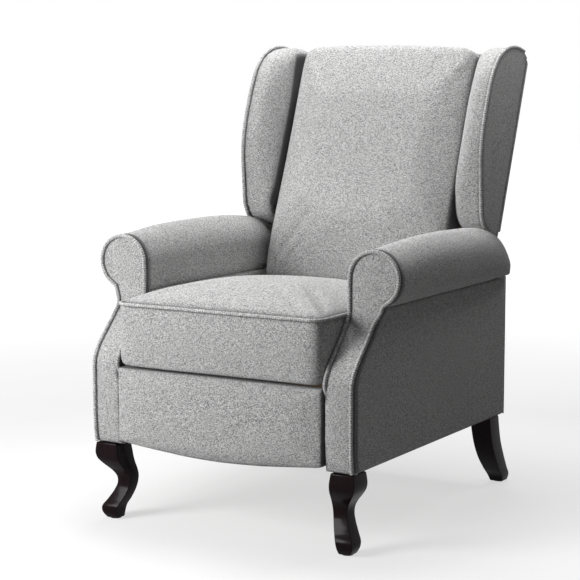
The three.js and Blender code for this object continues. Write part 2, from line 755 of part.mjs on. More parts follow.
function makeFootrest() {
  const outline = footrestOutline(0, 10);
  const middle = [0, (footrestLow + footrestHigh) / 2];
  const halves = [footrestHalfWidth, (footrestHigh - footrestLow) / 2];
  const seam = footrestCornerRadius / 4;
  const depth = footrestPadBack - footrestFront;
  const rows = [[1, seam], [0.75, 0], [0.3, 0], [0.1, 2 * seam], [0, 5 * seam], [-0.08, 12 * seam]];
  const rings = rows.map(([share, inset]) => drawnIn(outline, middle, inset, halves)
    .map(([x, z]) => new THREE.Vector3(x, footrestFront + depth * share, z)));
  const tip = new THREE.Vector3(0, footrestFront - depth * 0.12, middle[1]);
  add("footrest_pad", loft(rings, tip), fabricLight);

  const shape = new THREE.Shape(footrestOutline(boardInset, 8).map(([x, z]) => new THREE.Vector2(x, z)));
  const options = { depth: footrestBoardThickness, bevelEnabled: false };
  const back = footrestPadBack + fitGap + footrestBoardThickness;
  const board = new THREE.ExtrudeGeometry(shape, options).rotateX(Math.PI / 2).translate(0, back, 0);
  add("footrest_board", bare(board), woodPlain);
}

// Steel linkage

function layerOuter(layer) {
  return seatingHalfWidth - fitGap - layer * (plateThickness + plateGap);
}

function layerInner(layer) {
  return layerOuter(layer) - plateThickness;
}

// A flat bar with round ends from one place to another, in one layer.
function bar(from, to, half, layer) {
  const turn = Math.atan2(to[1] - from[1], to[0] - from[0]);
  const shape = new THREE.Shape();
  shape.absarc(from[0], from[1], half, turn + Math.PI / 2, turn + 3 * Math.PI / 2, false);
  shape.absarc(to[0], to[1], half, turn - Math.PI / 2, turn + Math.PI / 2, false);
  shape.closePath();
  return extrudeAcross(shape, layerInner(layer), layerOuter(layer), 3);
}

function plate(routes, half, layer) {
  const bars = routes.flatMap((route) => route.slice(1).map((to, i) => bar(route[i], to, half, layer)));
  return joined(bars);
}

function withPin(geometry, place, fromLayer, toLayer) {
  const near = Math.min(fromLayer, toLayer);
  const far = Math.max(fromLayer, toLayer);
  return joined([geometry, pinAcross(place, pinRadius, layerInner(far), layerOuter(near))]);
}

function withHole(geometry, place, layer, slack = pinClearance) {
  const hole = pinAcross(place, pinRadius + slack, layerInner(layer) - cutOverrun, layerOuter(layer) + cutOverrun);
  return cut(geometry, [hole]);
}

function bowed(from, to, bow, shares) {
  const along = [to[0] - from[0], to[1] - from[1]];
  const length = Math.hypot(...along);
  const normal = [-along[1] / length, along[0] / length];
  const point = (share) => [
    from[0] + along[0] * share + normal[0] * bow, from[1] + along[1] * share + normal[1] * bow];
  return [from, point(shares[0]), point(shares[1]), to];
}

function backPlace(depth, rise) {
  return [
    backFoot + depth * Math.cos(lean) + rise * Math.sin(lean),
    backFootHeight + rise * Math.cos(lean) - depth * Math.sin(lean),
  ];
}

function swingFoot(topDepth) {
  const turn = THREE.MathUtils.degToRad(swingLean);
  return [topDepth - swingLength * Math.sin(turn), swingTopHeight - swingLength * Math.cos(turn)];
}

function makeLinkage() {
  const frontTop = [frontSwingDepth, swingTopHeight];
  const rearTop = [rearSwingDepth, swingTopHeight];
  const frontFoot = swingFoot(frontSwingDepth);
  const rearFoot = swingFoot(rearSwingDepth);
  const outward = THREE.MathUtils.degToRad(rockerTurn);
  const rockerEnd = [driveEnd[0] - rockerSpacing * Math.cos(outward), driveEnd[1] - rockerSpacing * Math.sin(outward)];
  const reach = [driveEnd[0] - outerLinkEnd[0], outerLinkEnd[1] - driveEnd[1]];
  const guideTurn = Math.atan2(reach[1], reach[0]) + THREE.MathUtils.degToRad(guideLead);
  const guideStep = [-guideSpacing * Math.cos(guideTurn), guideSpacing * Math.sin(guideTurn)];
  const guideStart = [driveEnd[0] + guideStep[0], driveEnd[1] + guideStep[1]];
  const guideEnd = [outerLinkEnd[0] + guideStep[0], outerLinkEnd[1] + guideStep[1]];

  let basePlate = plate([[[frontFoot[0] - basePlateHalfWidth, frontFoot[1]], rearFoot, [reclinePivot[0], rearFoot[1]]],
    [[controlPivot[0], rearFoot[1]], controlPivot]], basePlateHalfWidth, baseLayer);
  [frontFoot, rearFoot, controlPivot].forEach((place) => {
    basePlate = withPin(basePlate, place, baseLayer, swingLayer);
  });
  addPair("base_plate", basePlate, steelDark);

  const swingLink = (foot, top) => {
    const link = withHole(plate([[foot, top]], linkHalfWidth, swingLayer), foot, swingLayer);
    return withHole(link, top, swingLayer);
  };
  addPair("front_swing_link", swingLink(frontFoot, frontTop), steelBright);
  addPair("rear_swing_link", swingLink(rearFoot, rearTop), steelBright);
  const control = withHole(plate([[controlPivot, controlEnd]], controlHalfWidth, swingLayer),
    controlPivot, swingLayer);
  addPair("back_control_link", withHole(control, controlEnd, swingLayer, controlSlack), steelBright);

  const railRoute = [[railFront, drivePivot[1]], frontTop, rearTop, reclinePivot];
  let rail = plate([railRoute, [[railFront, drivePivot[1]], rockerPivot]], railHalfWidth, railLayer);
  [frontTop, rearTop].forEach((place) => { rail = withPin(rail, place, swingLayer, railLayer); });
  rail = withPin(rail, reclinePivot, railLayer, rockerLayer);
  rail = withPin(rail, rockerPivot, railLayer, rockerLayer);
  rail = withPin(rail, drivePivot, railLayer, driveLayer);
  const spacers = spacerDepths.map((depth) => pinAcross([depth, swingTopHeight], spacerRadius,
    layerInner(outerLayer) - plateGap, layerInner(railLayer) + plateGap));
  addPair("seat_rail", joined([rail, ...spacers]), steelDark);

  const backLegs = [
    [backPlace(bracketDepth, bracketTop), backPlace(bracketDepth, bracketKnee), reclinePivot],
    [backPlace(bracketDepth, bracketKnee), controlEnd, reclinePivot],
  ];
  const bracket = withHole(plate(backLegs, linkHalfWidth + pinRadius, rockerLayer), reclinePivot, rockerLayer);
  addPair("back_bracket", withPin(bracket, controlEnd, swingLayer, rockerLayer), steelDark);

  const driveRoute = bowed(drivePivot, driveEnd, driveBow, bowShares);
  let drive = plate([driveRoute, [driveEnd, guideStart, driveRoute[2]]], linkHalfWidth, driveLayer);
  drive = withHole(withHole(drive, drivePivot, driveLayer), driveEnd, driveLayer);
  addPair("footrest_drive_link", withPin(drive, guideStart, guideLayer, driveLayer), steelBright);

  let outer = plate([[rockerEnd, driveEnd, outerLinkEnd]], linkHalfWidth, outerLayer);
  outer = withPin(withHole(outer, outerLinkEnd, outerLayer), driveEnd, driveLayer, outerLayer);
  addPair("footrest_outer_link", withPin(outer, rockerEnd, rockerLayer, outerLayer), steelBright);

  const guideBar = plate([[guideStart, guideEnd]], linkHalfWidth - plateGap, guideLayer);
  const guide = withHole(guideBar, guideStart, guideLayer);
  addPair("footrest_guide_link", withHole(guide, guideEnd, guideLayer), steelBright);

  const rockerRoute = bowed(rockerPivot, rockerEnd, rockerBow, rockerBowShares);
  const rocker = withHole(plate([rockerRoute], linkHalfWidth, rockerLayer), rockerPivot, rockerLayer);
  addPair("footrest_rocker_link", withHole(rocker, rockerEnd, rockerLayer, rockerSlack), steelBright);

  const footRoute = [guideEnd, outerLinkEnd, [footBracketDepth, footBracketHigh], [footBracketDepth, footBracketLow]];
  const footBracket = withPin(plate([footRoute], linkHalfWidth, driveLayer), guideEnd,
    guideLayer, driveLayer);
  addPair("footrest_bracket", withPin(footBracket, outerLinkEnd, driveLayer, outerLayer), steelDark);

  const tubeHalf = layerInner(driveLayer) - fitGap;
  const [tubeDepth, tubeHeight] = torqueTubePlace;
  add("torque_tube", box(-tubeHalf, tubeHalf, tubeDepth - torqueTubeHalf, tubeDepth + torqueTubeHalf,
    tubeHeight - torqueTubeHalf, tubeHeight + torqueTubeHalf), steelDark);
}

makeArms();
makeArmPiping();
makeLegs();
makeBaseRails();
makeSeat();
makeBack();
makeWings();
makeFootrest();
makeLinkage();

chair.position.set(0, -middleDepth, 0);
const recliner = new THREE.Group();
recliner.add(chair);

export default recliner;
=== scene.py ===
"""The looks of a push-back wingback recliner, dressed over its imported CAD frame."""

import json
import math

import bmesh
import bpy
import numpy as np
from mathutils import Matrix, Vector, noise


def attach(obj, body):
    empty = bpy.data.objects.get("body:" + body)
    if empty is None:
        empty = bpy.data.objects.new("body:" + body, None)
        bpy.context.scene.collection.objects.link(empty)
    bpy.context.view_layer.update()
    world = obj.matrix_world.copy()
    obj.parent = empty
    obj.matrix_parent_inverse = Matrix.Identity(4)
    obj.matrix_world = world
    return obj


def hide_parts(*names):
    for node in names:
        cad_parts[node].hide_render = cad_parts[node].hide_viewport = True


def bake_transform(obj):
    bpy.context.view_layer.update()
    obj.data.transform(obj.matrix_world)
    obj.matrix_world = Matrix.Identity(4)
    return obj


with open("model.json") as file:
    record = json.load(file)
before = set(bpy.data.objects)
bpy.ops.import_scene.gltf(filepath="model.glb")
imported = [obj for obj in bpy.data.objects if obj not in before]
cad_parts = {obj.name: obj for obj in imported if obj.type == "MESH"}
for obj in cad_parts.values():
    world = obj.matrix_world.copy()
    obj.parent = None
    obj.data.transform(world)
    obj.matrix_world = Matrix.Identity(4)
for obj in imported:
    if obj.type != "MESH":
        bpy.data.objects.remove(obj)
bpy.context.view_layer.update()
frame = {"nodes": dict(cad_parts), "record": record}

# The chair's own sizes, in metres. Depths are counted from the front of the arms.
MIDDLE_DEPTH = 0.4306
LEG_HEIGHT = 0.176
SEATING_HALF = 0.260
ARM_OUTER = 0.327
ARM_DEPTH = 0.755
PANEL_THICKNESS = 0.014
ARM_TOE = 0.006
ARM_BELLY = 0.258
SWEEP_LOW = 0.353
SWEEP_HIGH = 0.508
SCROLL_SETBACK = 0.105
SCROLL_RADIUS = 0.061
SCROLL_HEIGHT = 0.571
SCROLL_CENTRE = 0.319
ROLL_INNER = 0.258
NECK_OUTER = 0.342
NECK_LOW = 0.470
PIPING_RADIUS = 0.0035
INNER_PIPING_LOW = 0.33
ROLL_OVERHANG = 0.001
SEAT_CROWN = 0.042
SEAT_FILL = 0.0072
SEAT_CORNER = 0.027
SEAT_DIP = 0.023
BOARD_HALF = 0.242
BOARD_LOW = 0.178
BOARD_HIGH = 0.338
BOARD_BELLY = 0.0182
BOARD_FRONT = 0.0214
CUSHION_HALF = 0.2495
SEAT_FRONT = -0.016
SEAT_WELT = 0.494
FRAME_TOP = 0.4083
BACK_LEAN = math.radians(20.5)
BACK_FOOT = 0.560
BACK_FOOT_HEIGHT = 0.508
WING_OUTER = 0.325
WING_DEPTH = 0.170
WING_LOW = 0.150
WING_HEIGHT = 0.450
WING_REAR = 0.1081
WING_ROOT = 0.2466
WING_THINNING = 0.0238
WING_EDGE_ROUND = 0.026
WING_GATHERS = 460
TOP_EASE = 0.006
WING_OUTLINE = [
    (0.106, -0.026), (0.318, -0.020), (0.476, -0.001), (0.588, 0.036), (0.712, 0.128),
    (0.835, 0.228), (0.942, 0.333), (0.996, 0.444), (1.01, 0.556), (1.005, 0.667), (0.962, 0.775),
    (0.862, 0.855), (0.706, 0.916), (0.518, 0.958), (0.341, 0.980), (0.106, 0.992),
]
SIDES = {"right": 1, "left": -1}
HAIR = 0.0003  # the gap kept between pieces that lie against one another
PANEL_LOW = LEG_HEIGHT + 0.0002
SCROLL_FOOT = -math.acos((NECK_OUTER - SCROLL_CENTRE) / SCROLL_RADIUS)
SIDE_THICKNESS = 0.010
CORD_STEP = 0.004
MERGED = 1e-6
WHITE = (1, 1, 1, 1)


# Finishes


class Signal:
    """A node's output, whose Math nodes are written as Python operators."""

    def __init__(self, tree, socket):
        self.tree = tree
        self.socket = socket

    def math(self, operation, *values):
        return self.tree.node("ShaderNodeMath", {"operation": operation}, dict(enumerate(values)))

    def __add__(self, other):
        return self.math("ADD", self, other)

    __radd__ = __add__

    def __mul__(self, other):
        return self.math("MULTIPLY", self, other)

    __rmul__ = __mul__

    def __sub__(self, other):
        return self.math("SUBTRACT", self, other)

    def __rsub__(self, other):
        return self.math("SUBTRACT", other, self)

    def __truediv__(self, other):
        return self.math("DIVIDE", self, other)

    def __rtruediv__(self, other):
        return self.math("DIVIDE", other, self)

    def __pow__(self, other):
        return self.math("POWER", self, other)

    def __rpow__(self, other):
        return self.math("POWER", other, self)

    def sine(self):
        return self.math("SINE", self)


class Tree:
    """A node tree whose nodes are added in one call each, with their settings and inputs."""

    def __init__(self, tree):
        self.tree = tree

    def node(self, kind, settings=None, inputs=None, output=0):
        """Adds a node, and gives its output, or a list of them if output is a list of names."""
        made = self.tree.nodes.new(kind)
        for name, value in (settings or {}).items():
            setattr(made, name, value)
        for name, value in (inputs or {}).items():
            self.feed(made.inputs[name], value)
        if isinstance(output, list):
            return [Signal(self, made.outputs[name]) for name in output]
        return Signal(self, made.outputs[output]) if len(made.outputs) else None

    def feed(self, socket, value):
        if isinstance(value, Signal):
            self.tree.links.new(value.socket, socket)
        else:
            socket.default_value = value

    def seen(self):
        """1 for what the camera sees, also by way of gloss and glass, and 0 for light."""
        camera, gloss, glass = self.node(
            "ShaderNodeLightPath", output=["Is Camera Ray", "Is Glossy Ray", "Is Transmission Ray"])
        return camera.math("MAXIMUM", camera.math("MAXIMUM", camera, gloss), glass)


class Finish(Tree):
    """One material: its nodes, and the shader that they end in."""

    def __init__(self, name, **constants):
        self.material = bpy.data.materials.new(name)
        self.material.use_nodes = True
        super().__init__(self.material.node_tree)
        self.tree.nodes.clear()
        self.shader = self.tree.nodes.new("ShaderNodeBsdfPrincipled")
        self.output = self.tree.nodes.new("ShaderNodeOutputMaterial")
        self.tree.links.new(self.shader.outputs[0], self.output.inputs["Surface"])
        for name, value in constants.items():
            self.shader.inputs[name.replace("_", " ")].default_value = value
        self.place = self.node("ShaderNodeTexCoord", output="Object")

    def stretched(self, *scale):
        return self.node("ShaderNodeMapping", {}, {"Vector": self.place, "Scale": scale})

    def mottle(self, scale, detail=2.0, vector=None, roughness=0.5):
        return self.node("ShaderNodeTexNoise", {},
                         {"Vector": vector or self.place, "Scale": scale, "Detail": detail,
                          "Roughness": roughness}, "Fac")

    def between(self, value, low, high, to_low=0.0, to_high=1.0):
        return self.node("ShaderNodeMapRange", {"clamp": True},
                         {"Value": value, "From Min": low, "From Max": high, "To Min": to_low,
                          "To Max": to_high})

    def blend(self, share, first, second):
        return self.node("ShaderNodeMix", {"data_type": "RGBA"}, {0: share, 6: first, 7: second}, 2)

    def axes(self):
        return self.node("ShaderNodeSeparateXYZ", {}, {0: self.place}, ["X", "Y", "Z"])

    def bump(self, height, strength, distance):
        inputs = {"Height": height, "Strength": strength, "Distance": distance}
        self.feed(self.shader.inputs["Normal"], self.node("ShaderNodeBump", {}, inputs))

    def colour(self, value):
        self.feed(self.shader.inputs["Base Color"], value)

    def rough(self, value):
        self.feed(self.shader.inputs["Roughness"], value)


def grey(level, warm=0.0):
    return (level * (1 + warm), level, level * (1 - warm), 1)


THREAD = 0.0016
DARK_FIBRE, WORN_FIBRE, LIGHT_FIBRE, SEAM_SHADE = 0.135, 0.36, 0.66, 0.03


def melange(name, shade, mark, depth):
    """Grey melange cloth: light and dark fibres in a plain weave, with painted shade where its mark
    says so.
    """
    cloth = Finish(name, Roughness=0.92, Sheen_Weight=0.18, Sheen_Roughness=0.5,
                   Specular_IOR_Level=0.2)
    x, y, z = cloth.axes()
    turn = 2 * math.pi / THREAD
    warp = (x * turn).sine() + (y * turn).sine()
    weave = warp * (z * turn).sine()
    fibres = cloth.mottle(520)
    across = cloth.mottle(1, 1.0, cloth.stretched(210, 210, 900))
    upward = cloth.mottle(1, 1.0, cloth.stretched(860, 860, 200))
    mixed = fibres * 0.46 + across * 0.32 + upward * 0.22 + weave * 0.01
    base = cloth.blend(cloth.between(mixed, 0.41, 0.59), grey(DARK_FIBRE * shade),
                       grey(LIGHT_FIBRE * shade, 0.004))
    worn = cloth.between(cloth.mottle(9), 0.35, 0.7, 0, 0.12)
    colour = cloth.blend(worn, base, grey(WORN_FIBRE * shade))
    # Painted shade: where the mark is set, the colour goes dark towards SEAM_SHADE, as shade in
    # seams, crevices and gaps.
    marked = cloth.node("ShaderNodeAttribute", {"attribute_name": mark}, output="Fac")
    cloth.colour(cloth.blend(marked * depth, colour, grey(SEAM_SHADE)))
    cloth.rough(cloth.between(fibres, 0.3, 0.7, 0.86, 0.98))
    cloth.bump(weave * 0.2 + fibres * 0.8 + across * 0.5 + upward * 0.4, 0.4, 0.0010)
    return cloth.material


def espresso_wood():
    """Nearly black stain under a thin clear coat, its grain upright."""
    wood = Finish("espresso_wood", Roughness=0.3, Specular_IOR_Level=0.03, Coat_Weight=0.07,
                  Coat_Roughness=0.12)
    grain = wood.mottle(1, 3.0, wood.stretched(260, 260, 14), 0.6)
    pores = wood.mottle(1, 2.0, wood.stretched(900, 900, 45))
    wear = wood.mottle(34, 3.0)
    dark, light = (0.0048, 0.0019, 0.0027, 1), (0.0115, 0.0048, 0.0062, 1)
    colour = wood.blend(wood.between(grain, 0.3, 0.7), dark, light)
    rubbed = wood.between(wear, 0.55, 0.8, 0, 0.3)
    wood.colour(wood.blend(rubbed, colour, (0.018, 0.008, 0.009, 1)))
    wood.rough(wood.between(pores * 0.5 + wear * 0.5, 0.3, 0.7, 0.24, 0.38))
    wood.bump(grain * 0.4 + pores * 0.6, 0.12, 0.0004)
    return wood.material


def frame_wood():
    """Bare pale boards, as the frames are."""
    wood = Finish("frame_wood", Roughness=0.75)
    rings = wood.mottle(1, 3.0, wood.stretched(9, 9, 70), 0.6)
    fibre = wood.mottle(1, 2.0, wood.stretched(30, 30, 800))
    dark, light, streak = (0.36, 0.235, 0.12, 1), (0.55, 0.40, 0.225, 1), (0.27, 0.165, 0.08, 1)
    colour = wood.blend(wood.between(rings, 0.35, 0.65), dark, light)
    wood.colour(wood.blend(wood.between(fibre, 0.5, 0.75, 0, 0.45), colour, streak))
    wood.rough(wood.between(fibre, 0.3, 0.7, 0.65, 0.85))
    wood.bump(rings * 0.3 + fibre, 0.2, 0.0005)
    return wood.material


def steel(name, dark, light, metallic, low, high):
    """Plate with rolled streaks, a little staining and fine pitting."""
    metal = Finish(name, Metallic=metallic)
    streak = metal.mottle(1, 2.0, metal.stretched(500, 30, 500))
    stain = metal.mottle(45, 4.0)
    metal.colour(metal.blend(metal.between(stain * 0.6 + streak * 0.4, 0.35, 0.65), dark, light))
    metal.rough(metal.between(stain, 0.3, 0.7, low, high))
    metal.bump(streak * 0.5 + metal.mottle(900) * 0.5, 0.12, 0.0003)
    return metal.material


def webbing():
    """Black elastic band, its cords across and its weft fine."""
    band = Finish("elastic_webbing", Roughness=0.85)
    x, y, z = band.axes()
    cords = (x * 2100).sine() * 0.5 + 0.5
    weft = (z * 3900).sine() * 0.5 + 0.5
    black, thread, dust = (0.012, 0.012, 0.013, 1), (0.05, 0.05, 0.053, 1), (0.09, 0.088, 0.085, 1)
    colour = band.blend(cords * 0.6 + weft * 0.4, black, thread)
    band.colour(band.blend(band.between(band.mottle(60, 3.0), 0.5, 0.8, 0, 0.25), colour, dust))
    band.bump(cords + weft, 0.5, 0.0006)
    return band.material


# The seat cloth shows painted shade by its mark, which is set in seams, crevices and gaps.
FABRIC = melange("grey_melange", 1.0, "painted_shade", 0.88)
# The piping cloth is 1.35 times as light as the seat cloth, a painted highlight along the cord, and
# it shows painted shade in its pinches.
TRIM = melange("grey_piping", 1.35, "rib_shade", 0.5)
LEG_WOOD = espresso_wood()
SLOT_FINISH = {
    "upholstery_fabric": FABRIC,
    "fabric_piping": TRIM,
    "dark_leg_wood": LEG_WOOD,
    "frame_wood": frame_wood(),
    "dark_steel": steel("black_painted_steel", (0.012, 0.012, 0.013, 1), (0.03, 0.03, 0.032, 1),
                        metallic=0.3, low=0.35, high=0.55),
    "zinc_steel": steel("zinc_plated_steel", (0.42, 0.42, 0.43, 1), (0.62, 0.62, 0.61, 1),
                        metallic=1.0, low=0.25, high=0.42),
    "elastic_webbing": webbing(),
}


def finish_cad_nodes():
    """Every CAD node that stays gets the finish of its slot."""
    for row in frame["record"]["subparts"]:
        node = frame["nodes"][row["node"]]
        node.data.materials.clear()
        node.data.materials.append(SLOT_FINISH[row["material_slot"]])


# Shapes


def smooth(share):
    held = np.clip(share, 0, 1)
    return held * held * (3 - 2 * held)


def through(places, values, wanted):
    """A smooth curve through the given values, read at the wanted places."""
    places, values = np.asarray(places, float), np.asarray(values, float)
    slopes = np.gradient(values, places)
    i = np.clip(np.searchsorted(places, wanted) - 1, 0, len(places) - 2)
    width = places[i + 1] - places[i]
    t = (np.asarray(wanted) - places[i]) / width
    return (
        values[i] * (1 + 2 * t) * (1 - t) ** 2
        + slopes[i] * width * t * (1 - t) ** 2
        + values[i + 1] * t**2 * (3 - 2 * t)
        + slopes[i + 1] * width * t**2 * (t - 1)
    )


def arm_front(z):
    """Depth of the arm's front face at a height."""
    z = np.asarray(z, float)
    below = np.clip((ARM_BELLY - z) / (ARM_BELLY - LEG_HEIGHT), 0, None)
    sweep = smooth((z - SWEEP_LOW) / (SWEEP_HIGH - SWEEP_LOW))
    return ARM_TOE * below**2 + SCROLL_SETBACK * sweep


def spots(*coordinates):
    """Points from their coordinates, each of them a number or an array."""
    return np.stack(np.broadcast_arrays(*coordinates), -1)


def arc(x, y, radius, turns):
    """Points of a circle at the given turns."""
    return [(x + radius * math.cos(t), y + radius * math.sin(t)) for t in turns]


def evenly(line, count=None):
    """A smooth curve through a line's points, with points at an even step along it."""
    line = np.asarray(line, float)
    along = np.concatenate([[0], np.cumsum(np.linalg.norm(np.diff(line, axis=0), axis=1))])
    wanted = np.linspace(0, along[-1], count or max(8, int(along[-1] / CORD_STEP)))
    return spots(*(through(along, values, wanted) for values in line.T))


def leaned(points):
    """Points given as across, depth and rise in the back's own frame, set in the chair's."""
    x, depth, rise = np.moveaxis(np.asarray(points, float), -1, 0)
    cos, sin = math.cos(BACK_LEAN), math.sin(BACK_LEAN)
    y = BACK_FOOT - MIDDLE_DEPTH + depth * cos + rise * sin
    return spots(x, y, BACK_FOOT_HEIGHT + rise * cos - depth * sin)


def own_frame(points):
    """Depth and rise of the chair's points in the back's own frame."""
    y, z = points[:, 1] + MIDDLE_DEPTH - BACK_FOOT, points[:, 2] - BACK_FOOT_HEIGHT
    cos, sin = math.cos(BACK_LEAN), math.sin(BACK_LEAN)
    return y * cos - z * sin, y * sin + z * cos


def upright(points):
    """Points given as across, depth from the arm fronts and height, set in the chair's frame."""
    return np.asarray(points, float) - (0, MIDDLE_DEPTH, 0)


def evaluated(obj):
    """A plain mesh of a piece as its modifiers leave it."""
    bpy.context.view_layer.update()
    return bpy.data.meshes.new_from_object(obj.evaluated_get(bpy.context.evaluated_depsgraph_get()))


def baked(obj):
    """Gives a cloth piece the mesh that its modifiers make, and drops them."""
    mesh = evaluated(obj)
    obj.modifiers.clear()
    obj.data = mesh
    mesh.materials.clear()
    mesh.materials.append(FABRIC)
    return mesh


def smooth_shaded(mesh):
    mesh.polygons.foreach_set("use_smooth", [True] * len(mesh.polygons))


def closed(mesh):
    """Merges a mesh's doubled points and turns its faces outward."""
    shell = bmesh.new()
    shell.from_mesh(mesh)
    bmesh.ops.remove_doubles(shell, verts=shell.verts, dist=MERGED)
    bmesh.ops.recalc_face_normals(shell, faces=shell.faces)
    shell.to_mesh(mesh)
    shell.free()
    smooth_shaded(mesh)


def placed(name, data):
    """A new object in the scene: a mesh, a lamp or a camera."""
    obj = bpy.data.objects.new(name, data)
    bpy.context.collection.objects.link(obj)
    return obj


def piece(name, points, faces, material=FABRIC):
    mesh = bpy.data.meshes.new(name)
    mesh.from_pydata([tuple(p) for p in np.asarray(points).reshape(-1, 3)], [], faces)
    closed(mesh)
    mesh.materials.append(material)
    return placed(name, mesh)


def grid_faces(rows, width):
    """Faces between the points of a grid, whose rows are as wide as given."""
    return [(a, a + 1, a + 1 + width, a + width)
            for row in range(rows - 1) for a in range(row * width, (row + 1) * width - 1)]


def ring_faces(rows, columns, looped=False):
    """Faces from each ring of points to the next, and from the last to the first if looped."""
    faces = []
    for row in range(rows if looped else rows - 1):
        here, after = row * columns, (row + 1) % rows * columns
        for i in range(columns):
            j = (i + 1) % columns
            faces.append((here + i, here + j, after + j, after + i))
    return faces


def loft(name, rings, tips=None, material=FABRIC):
    """Rings of points joined into one closed skin, whose ends are fanned to two tips."""
    rings = np.asarray(rings, float)
    rows, columns = rings.shape[:2]
    faces = ring_faces(rows, columns)
    first, last, end = rows * columns, rows * columns + 1, (rows - 1) * columns
    for i in range(columns):
        j = (i + 1) % columns
        faces += [(first, j, i), (last, end + i, end + j)]
    ends = np.array(tips or (rings[0].mean(0), rings[-1].mean(0)), float)
    return piece(name, np.concatenate([rings.reshape(-1, 3), ends]), faces, material)


def edge_distance(points, outline):
    """How far each flat point lies from a closed outline."""
    best = np.full(points.shape[:-1], 1e9)
    for a, b in zip(outline, np.roll(outline, -1, 0)):
        along = b - a
        length = max(float(along @ along), 1e-12)
        t = np.clip(((points - a) @ along) / length, 0, 1)
        best = np.minimum(best, np.linalg.norm(points - a - t[..., None] * along, axis=-1))
    return best


def puffed(distance, radius, crown, reach):
    """How far a padded face stands out at a distance from its sewn edge."""
    turn = np.clip(distance / radius, 0, 1)
    rounded = radius * (np.sqrt(np.clip(1 - (1 - turn) ** 2, 0, 1)) - 1)
    return rounded + crown * (1 - np.exp(-distance / reach))


def padded_panel(name, levels, spans, place, thickness, radius, crown, reach, columns,
                 back_radius=0.002, ripple=None):
    """A flat upholstered panel. At each level it spans from spans[0] to spans[1]; place turns
    across, level and height above the panel's back into chair points."""
    levels = np.asarray(levels, float)
    low, high = (np.asarray(s, float) for s in spans)
    width = columns + 1
    count = len(levels) * width
    share = 0.5 - 0.5 * np.cos(np.pi * np.arange(width) / columns)
    flat = spots(low[:, None] + (high - low)[:, None] * share, levels[:, None])
    order = np.arange(count).reshape(-1, width)
    rim = np.concatenate([order[0], order[1:, -1], order[-1, -2::-1], order[-2:0:-1, 0]]).tolist()
    distance = edge_distance(flat, flat.reshape(-1, 2)[rim])
    height = thickness + puffed(distance, radius, crown, reach)
    if ripple is not None:
        height = height + ripple(flat, distance)
    under = -puffed(distance, back_radius, 0, reach) if back_radius else np.zeros_like(height)
    front = place(flat[..., 0], flat[..., 1], height)
    back = place(flat[..., 0], flat[..., 1], under)
    faces = []
    for face in grid_faces(len(levels), width):
        faces += [face, tuple(count + corner for corner in face[::-1])]
    faces += [(b, a, count + a, count + b) for a, b in zip(rim, rim[1:] + rim[:1])]
    return piece(name, [front, back], faces)


def places_of(mesh):
    points = np.zeros(len(mesh.vertices) * 3)
    mesh.vertices.foreach_get("co", points)
    return points.reshape(-1, 3)


def paint_shade(obj, rule):
    """Stores how much painted shade each point of a piece gets, in its seams, crevices and gaps,
    for its cloth to show.
    """
    depth = np.clip(rule(places_of(obj.data)), 0, 1)
    layer = obj.data.attributes.new("painted_shade", "FLOAT", "POINT")
    layer.data.foreach_set("value", depth.astype(np.float32))


def rumple(obj, amount, scale, seed, mask=None):
    """Moves a mesh a little along its normals, as cloth over foam never lies quite flat."""
    mesh = obj.data
    points = places_of(mesh)
    normals = np.array([v.normal for v in mesh.vertices])
    start = Vector((seed * 7.3, seed * 3.1, seed * 5.7))
    shift = np.array([noise.noise(Vector(p) * scale + start) for p in points]) * amount
    if mask is not None:
        shift = shift * mask(points)
    mesh.vertices.foreach_set("co", (points + normals * shift[:, None]).ravel())
    mesh.update()


def dress(obj, body, *nodes, slot="upholstery_fabric", pad=None):
    """Sets a finished piece on its body, in place of its CAD nodes."""
    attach(obj, body)
    if nodes:
        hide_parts(*nodes)


# Arms
# Arms


def panel_span(z):
    """Inner and outer edge of the arm's front panel at each height."""
    z = np.asarray(z, float)
    reach = np.sqrt(np.clip(SCROLL_RADIUS**2 - (z - SCROLL_HEIGHT) ** 2, 0, None))
    neck = SCROLL_HEIGHT - math.sqrt(SCROLL_RADIUS**2 - (NECK_OUTER - SCROLL_CENTRE) ** 2)
    flare = smooth((z - NECK_LOW) / (neck - NECK_LOW))
    low = np.where(z < SCROLL_HEIGHT, ROLL_INNER, SCROLL_CENTRE - reach)
    high = np.where(z > neck, SCROLL_CENTRE + reach, ARM_OUTER + (NECK_OUTER - ARM_OUTER) * flare)
    return low, high


def make_front_panel(side, sign):
    """The scrolled front of an arm, its cloth drawn down along the piping."""
    turns = np.linspace(0, math.pi / 2, 30)[1:-1]
    heights = np.concatenate([PANEL_LOW + np.array([0, 0.001, 0.003, 0.006, 0.010]),
                              np.linspace(0.192, SCROLL_HEIGHT, 66),
                              SCROLL_HEIGHT + SCROLL_RADIUS * np.sin(turns)])
    low, high = panel_span(heights)

    def place(across, level, height):
        return upright(spots(sign * across, arm_front(level) + PANEL_THICKNESS - height, level))

    panel = padded_panel(f"{side}_arm_front_cover", heights, (low, high), place, PANEL_THICKNESS,
                         radius=0.008, crown=0.0035, reach=0.02, columns=22, back_radius=0)
    rumple(panel, amount=0.0007, scale=22, seed=3 + sign)
    outline = np.concatenate([spots(high, heights), spots(low, heights)[::-1]])
    outline = outline[(outline[:, 1] > INNER_PIPING_LOW) | (outline[:, 0] > ARM_OUTER - 0.001)]
    outline = np.concatenate([outline, outline[::-1]])

    # Painted shade in a band along the piping, where the cord shades the panel.
    def cord_shade(p):
        gap = edge_distance(spots(np.abs(p[:, 0]), p[:, 2]), outline)
        groove_shade = np.exp(-((np.maximum(gap - 0.0045, 0) / 0.004) ** 2))
        return 0.95 * groove_shade * (p[:, 2] > LEG_HEIGHT + 0.006)

    paint_shade(panel, cord_shade)
    dress(panel, "base", f"{side}_arm_front_panel")


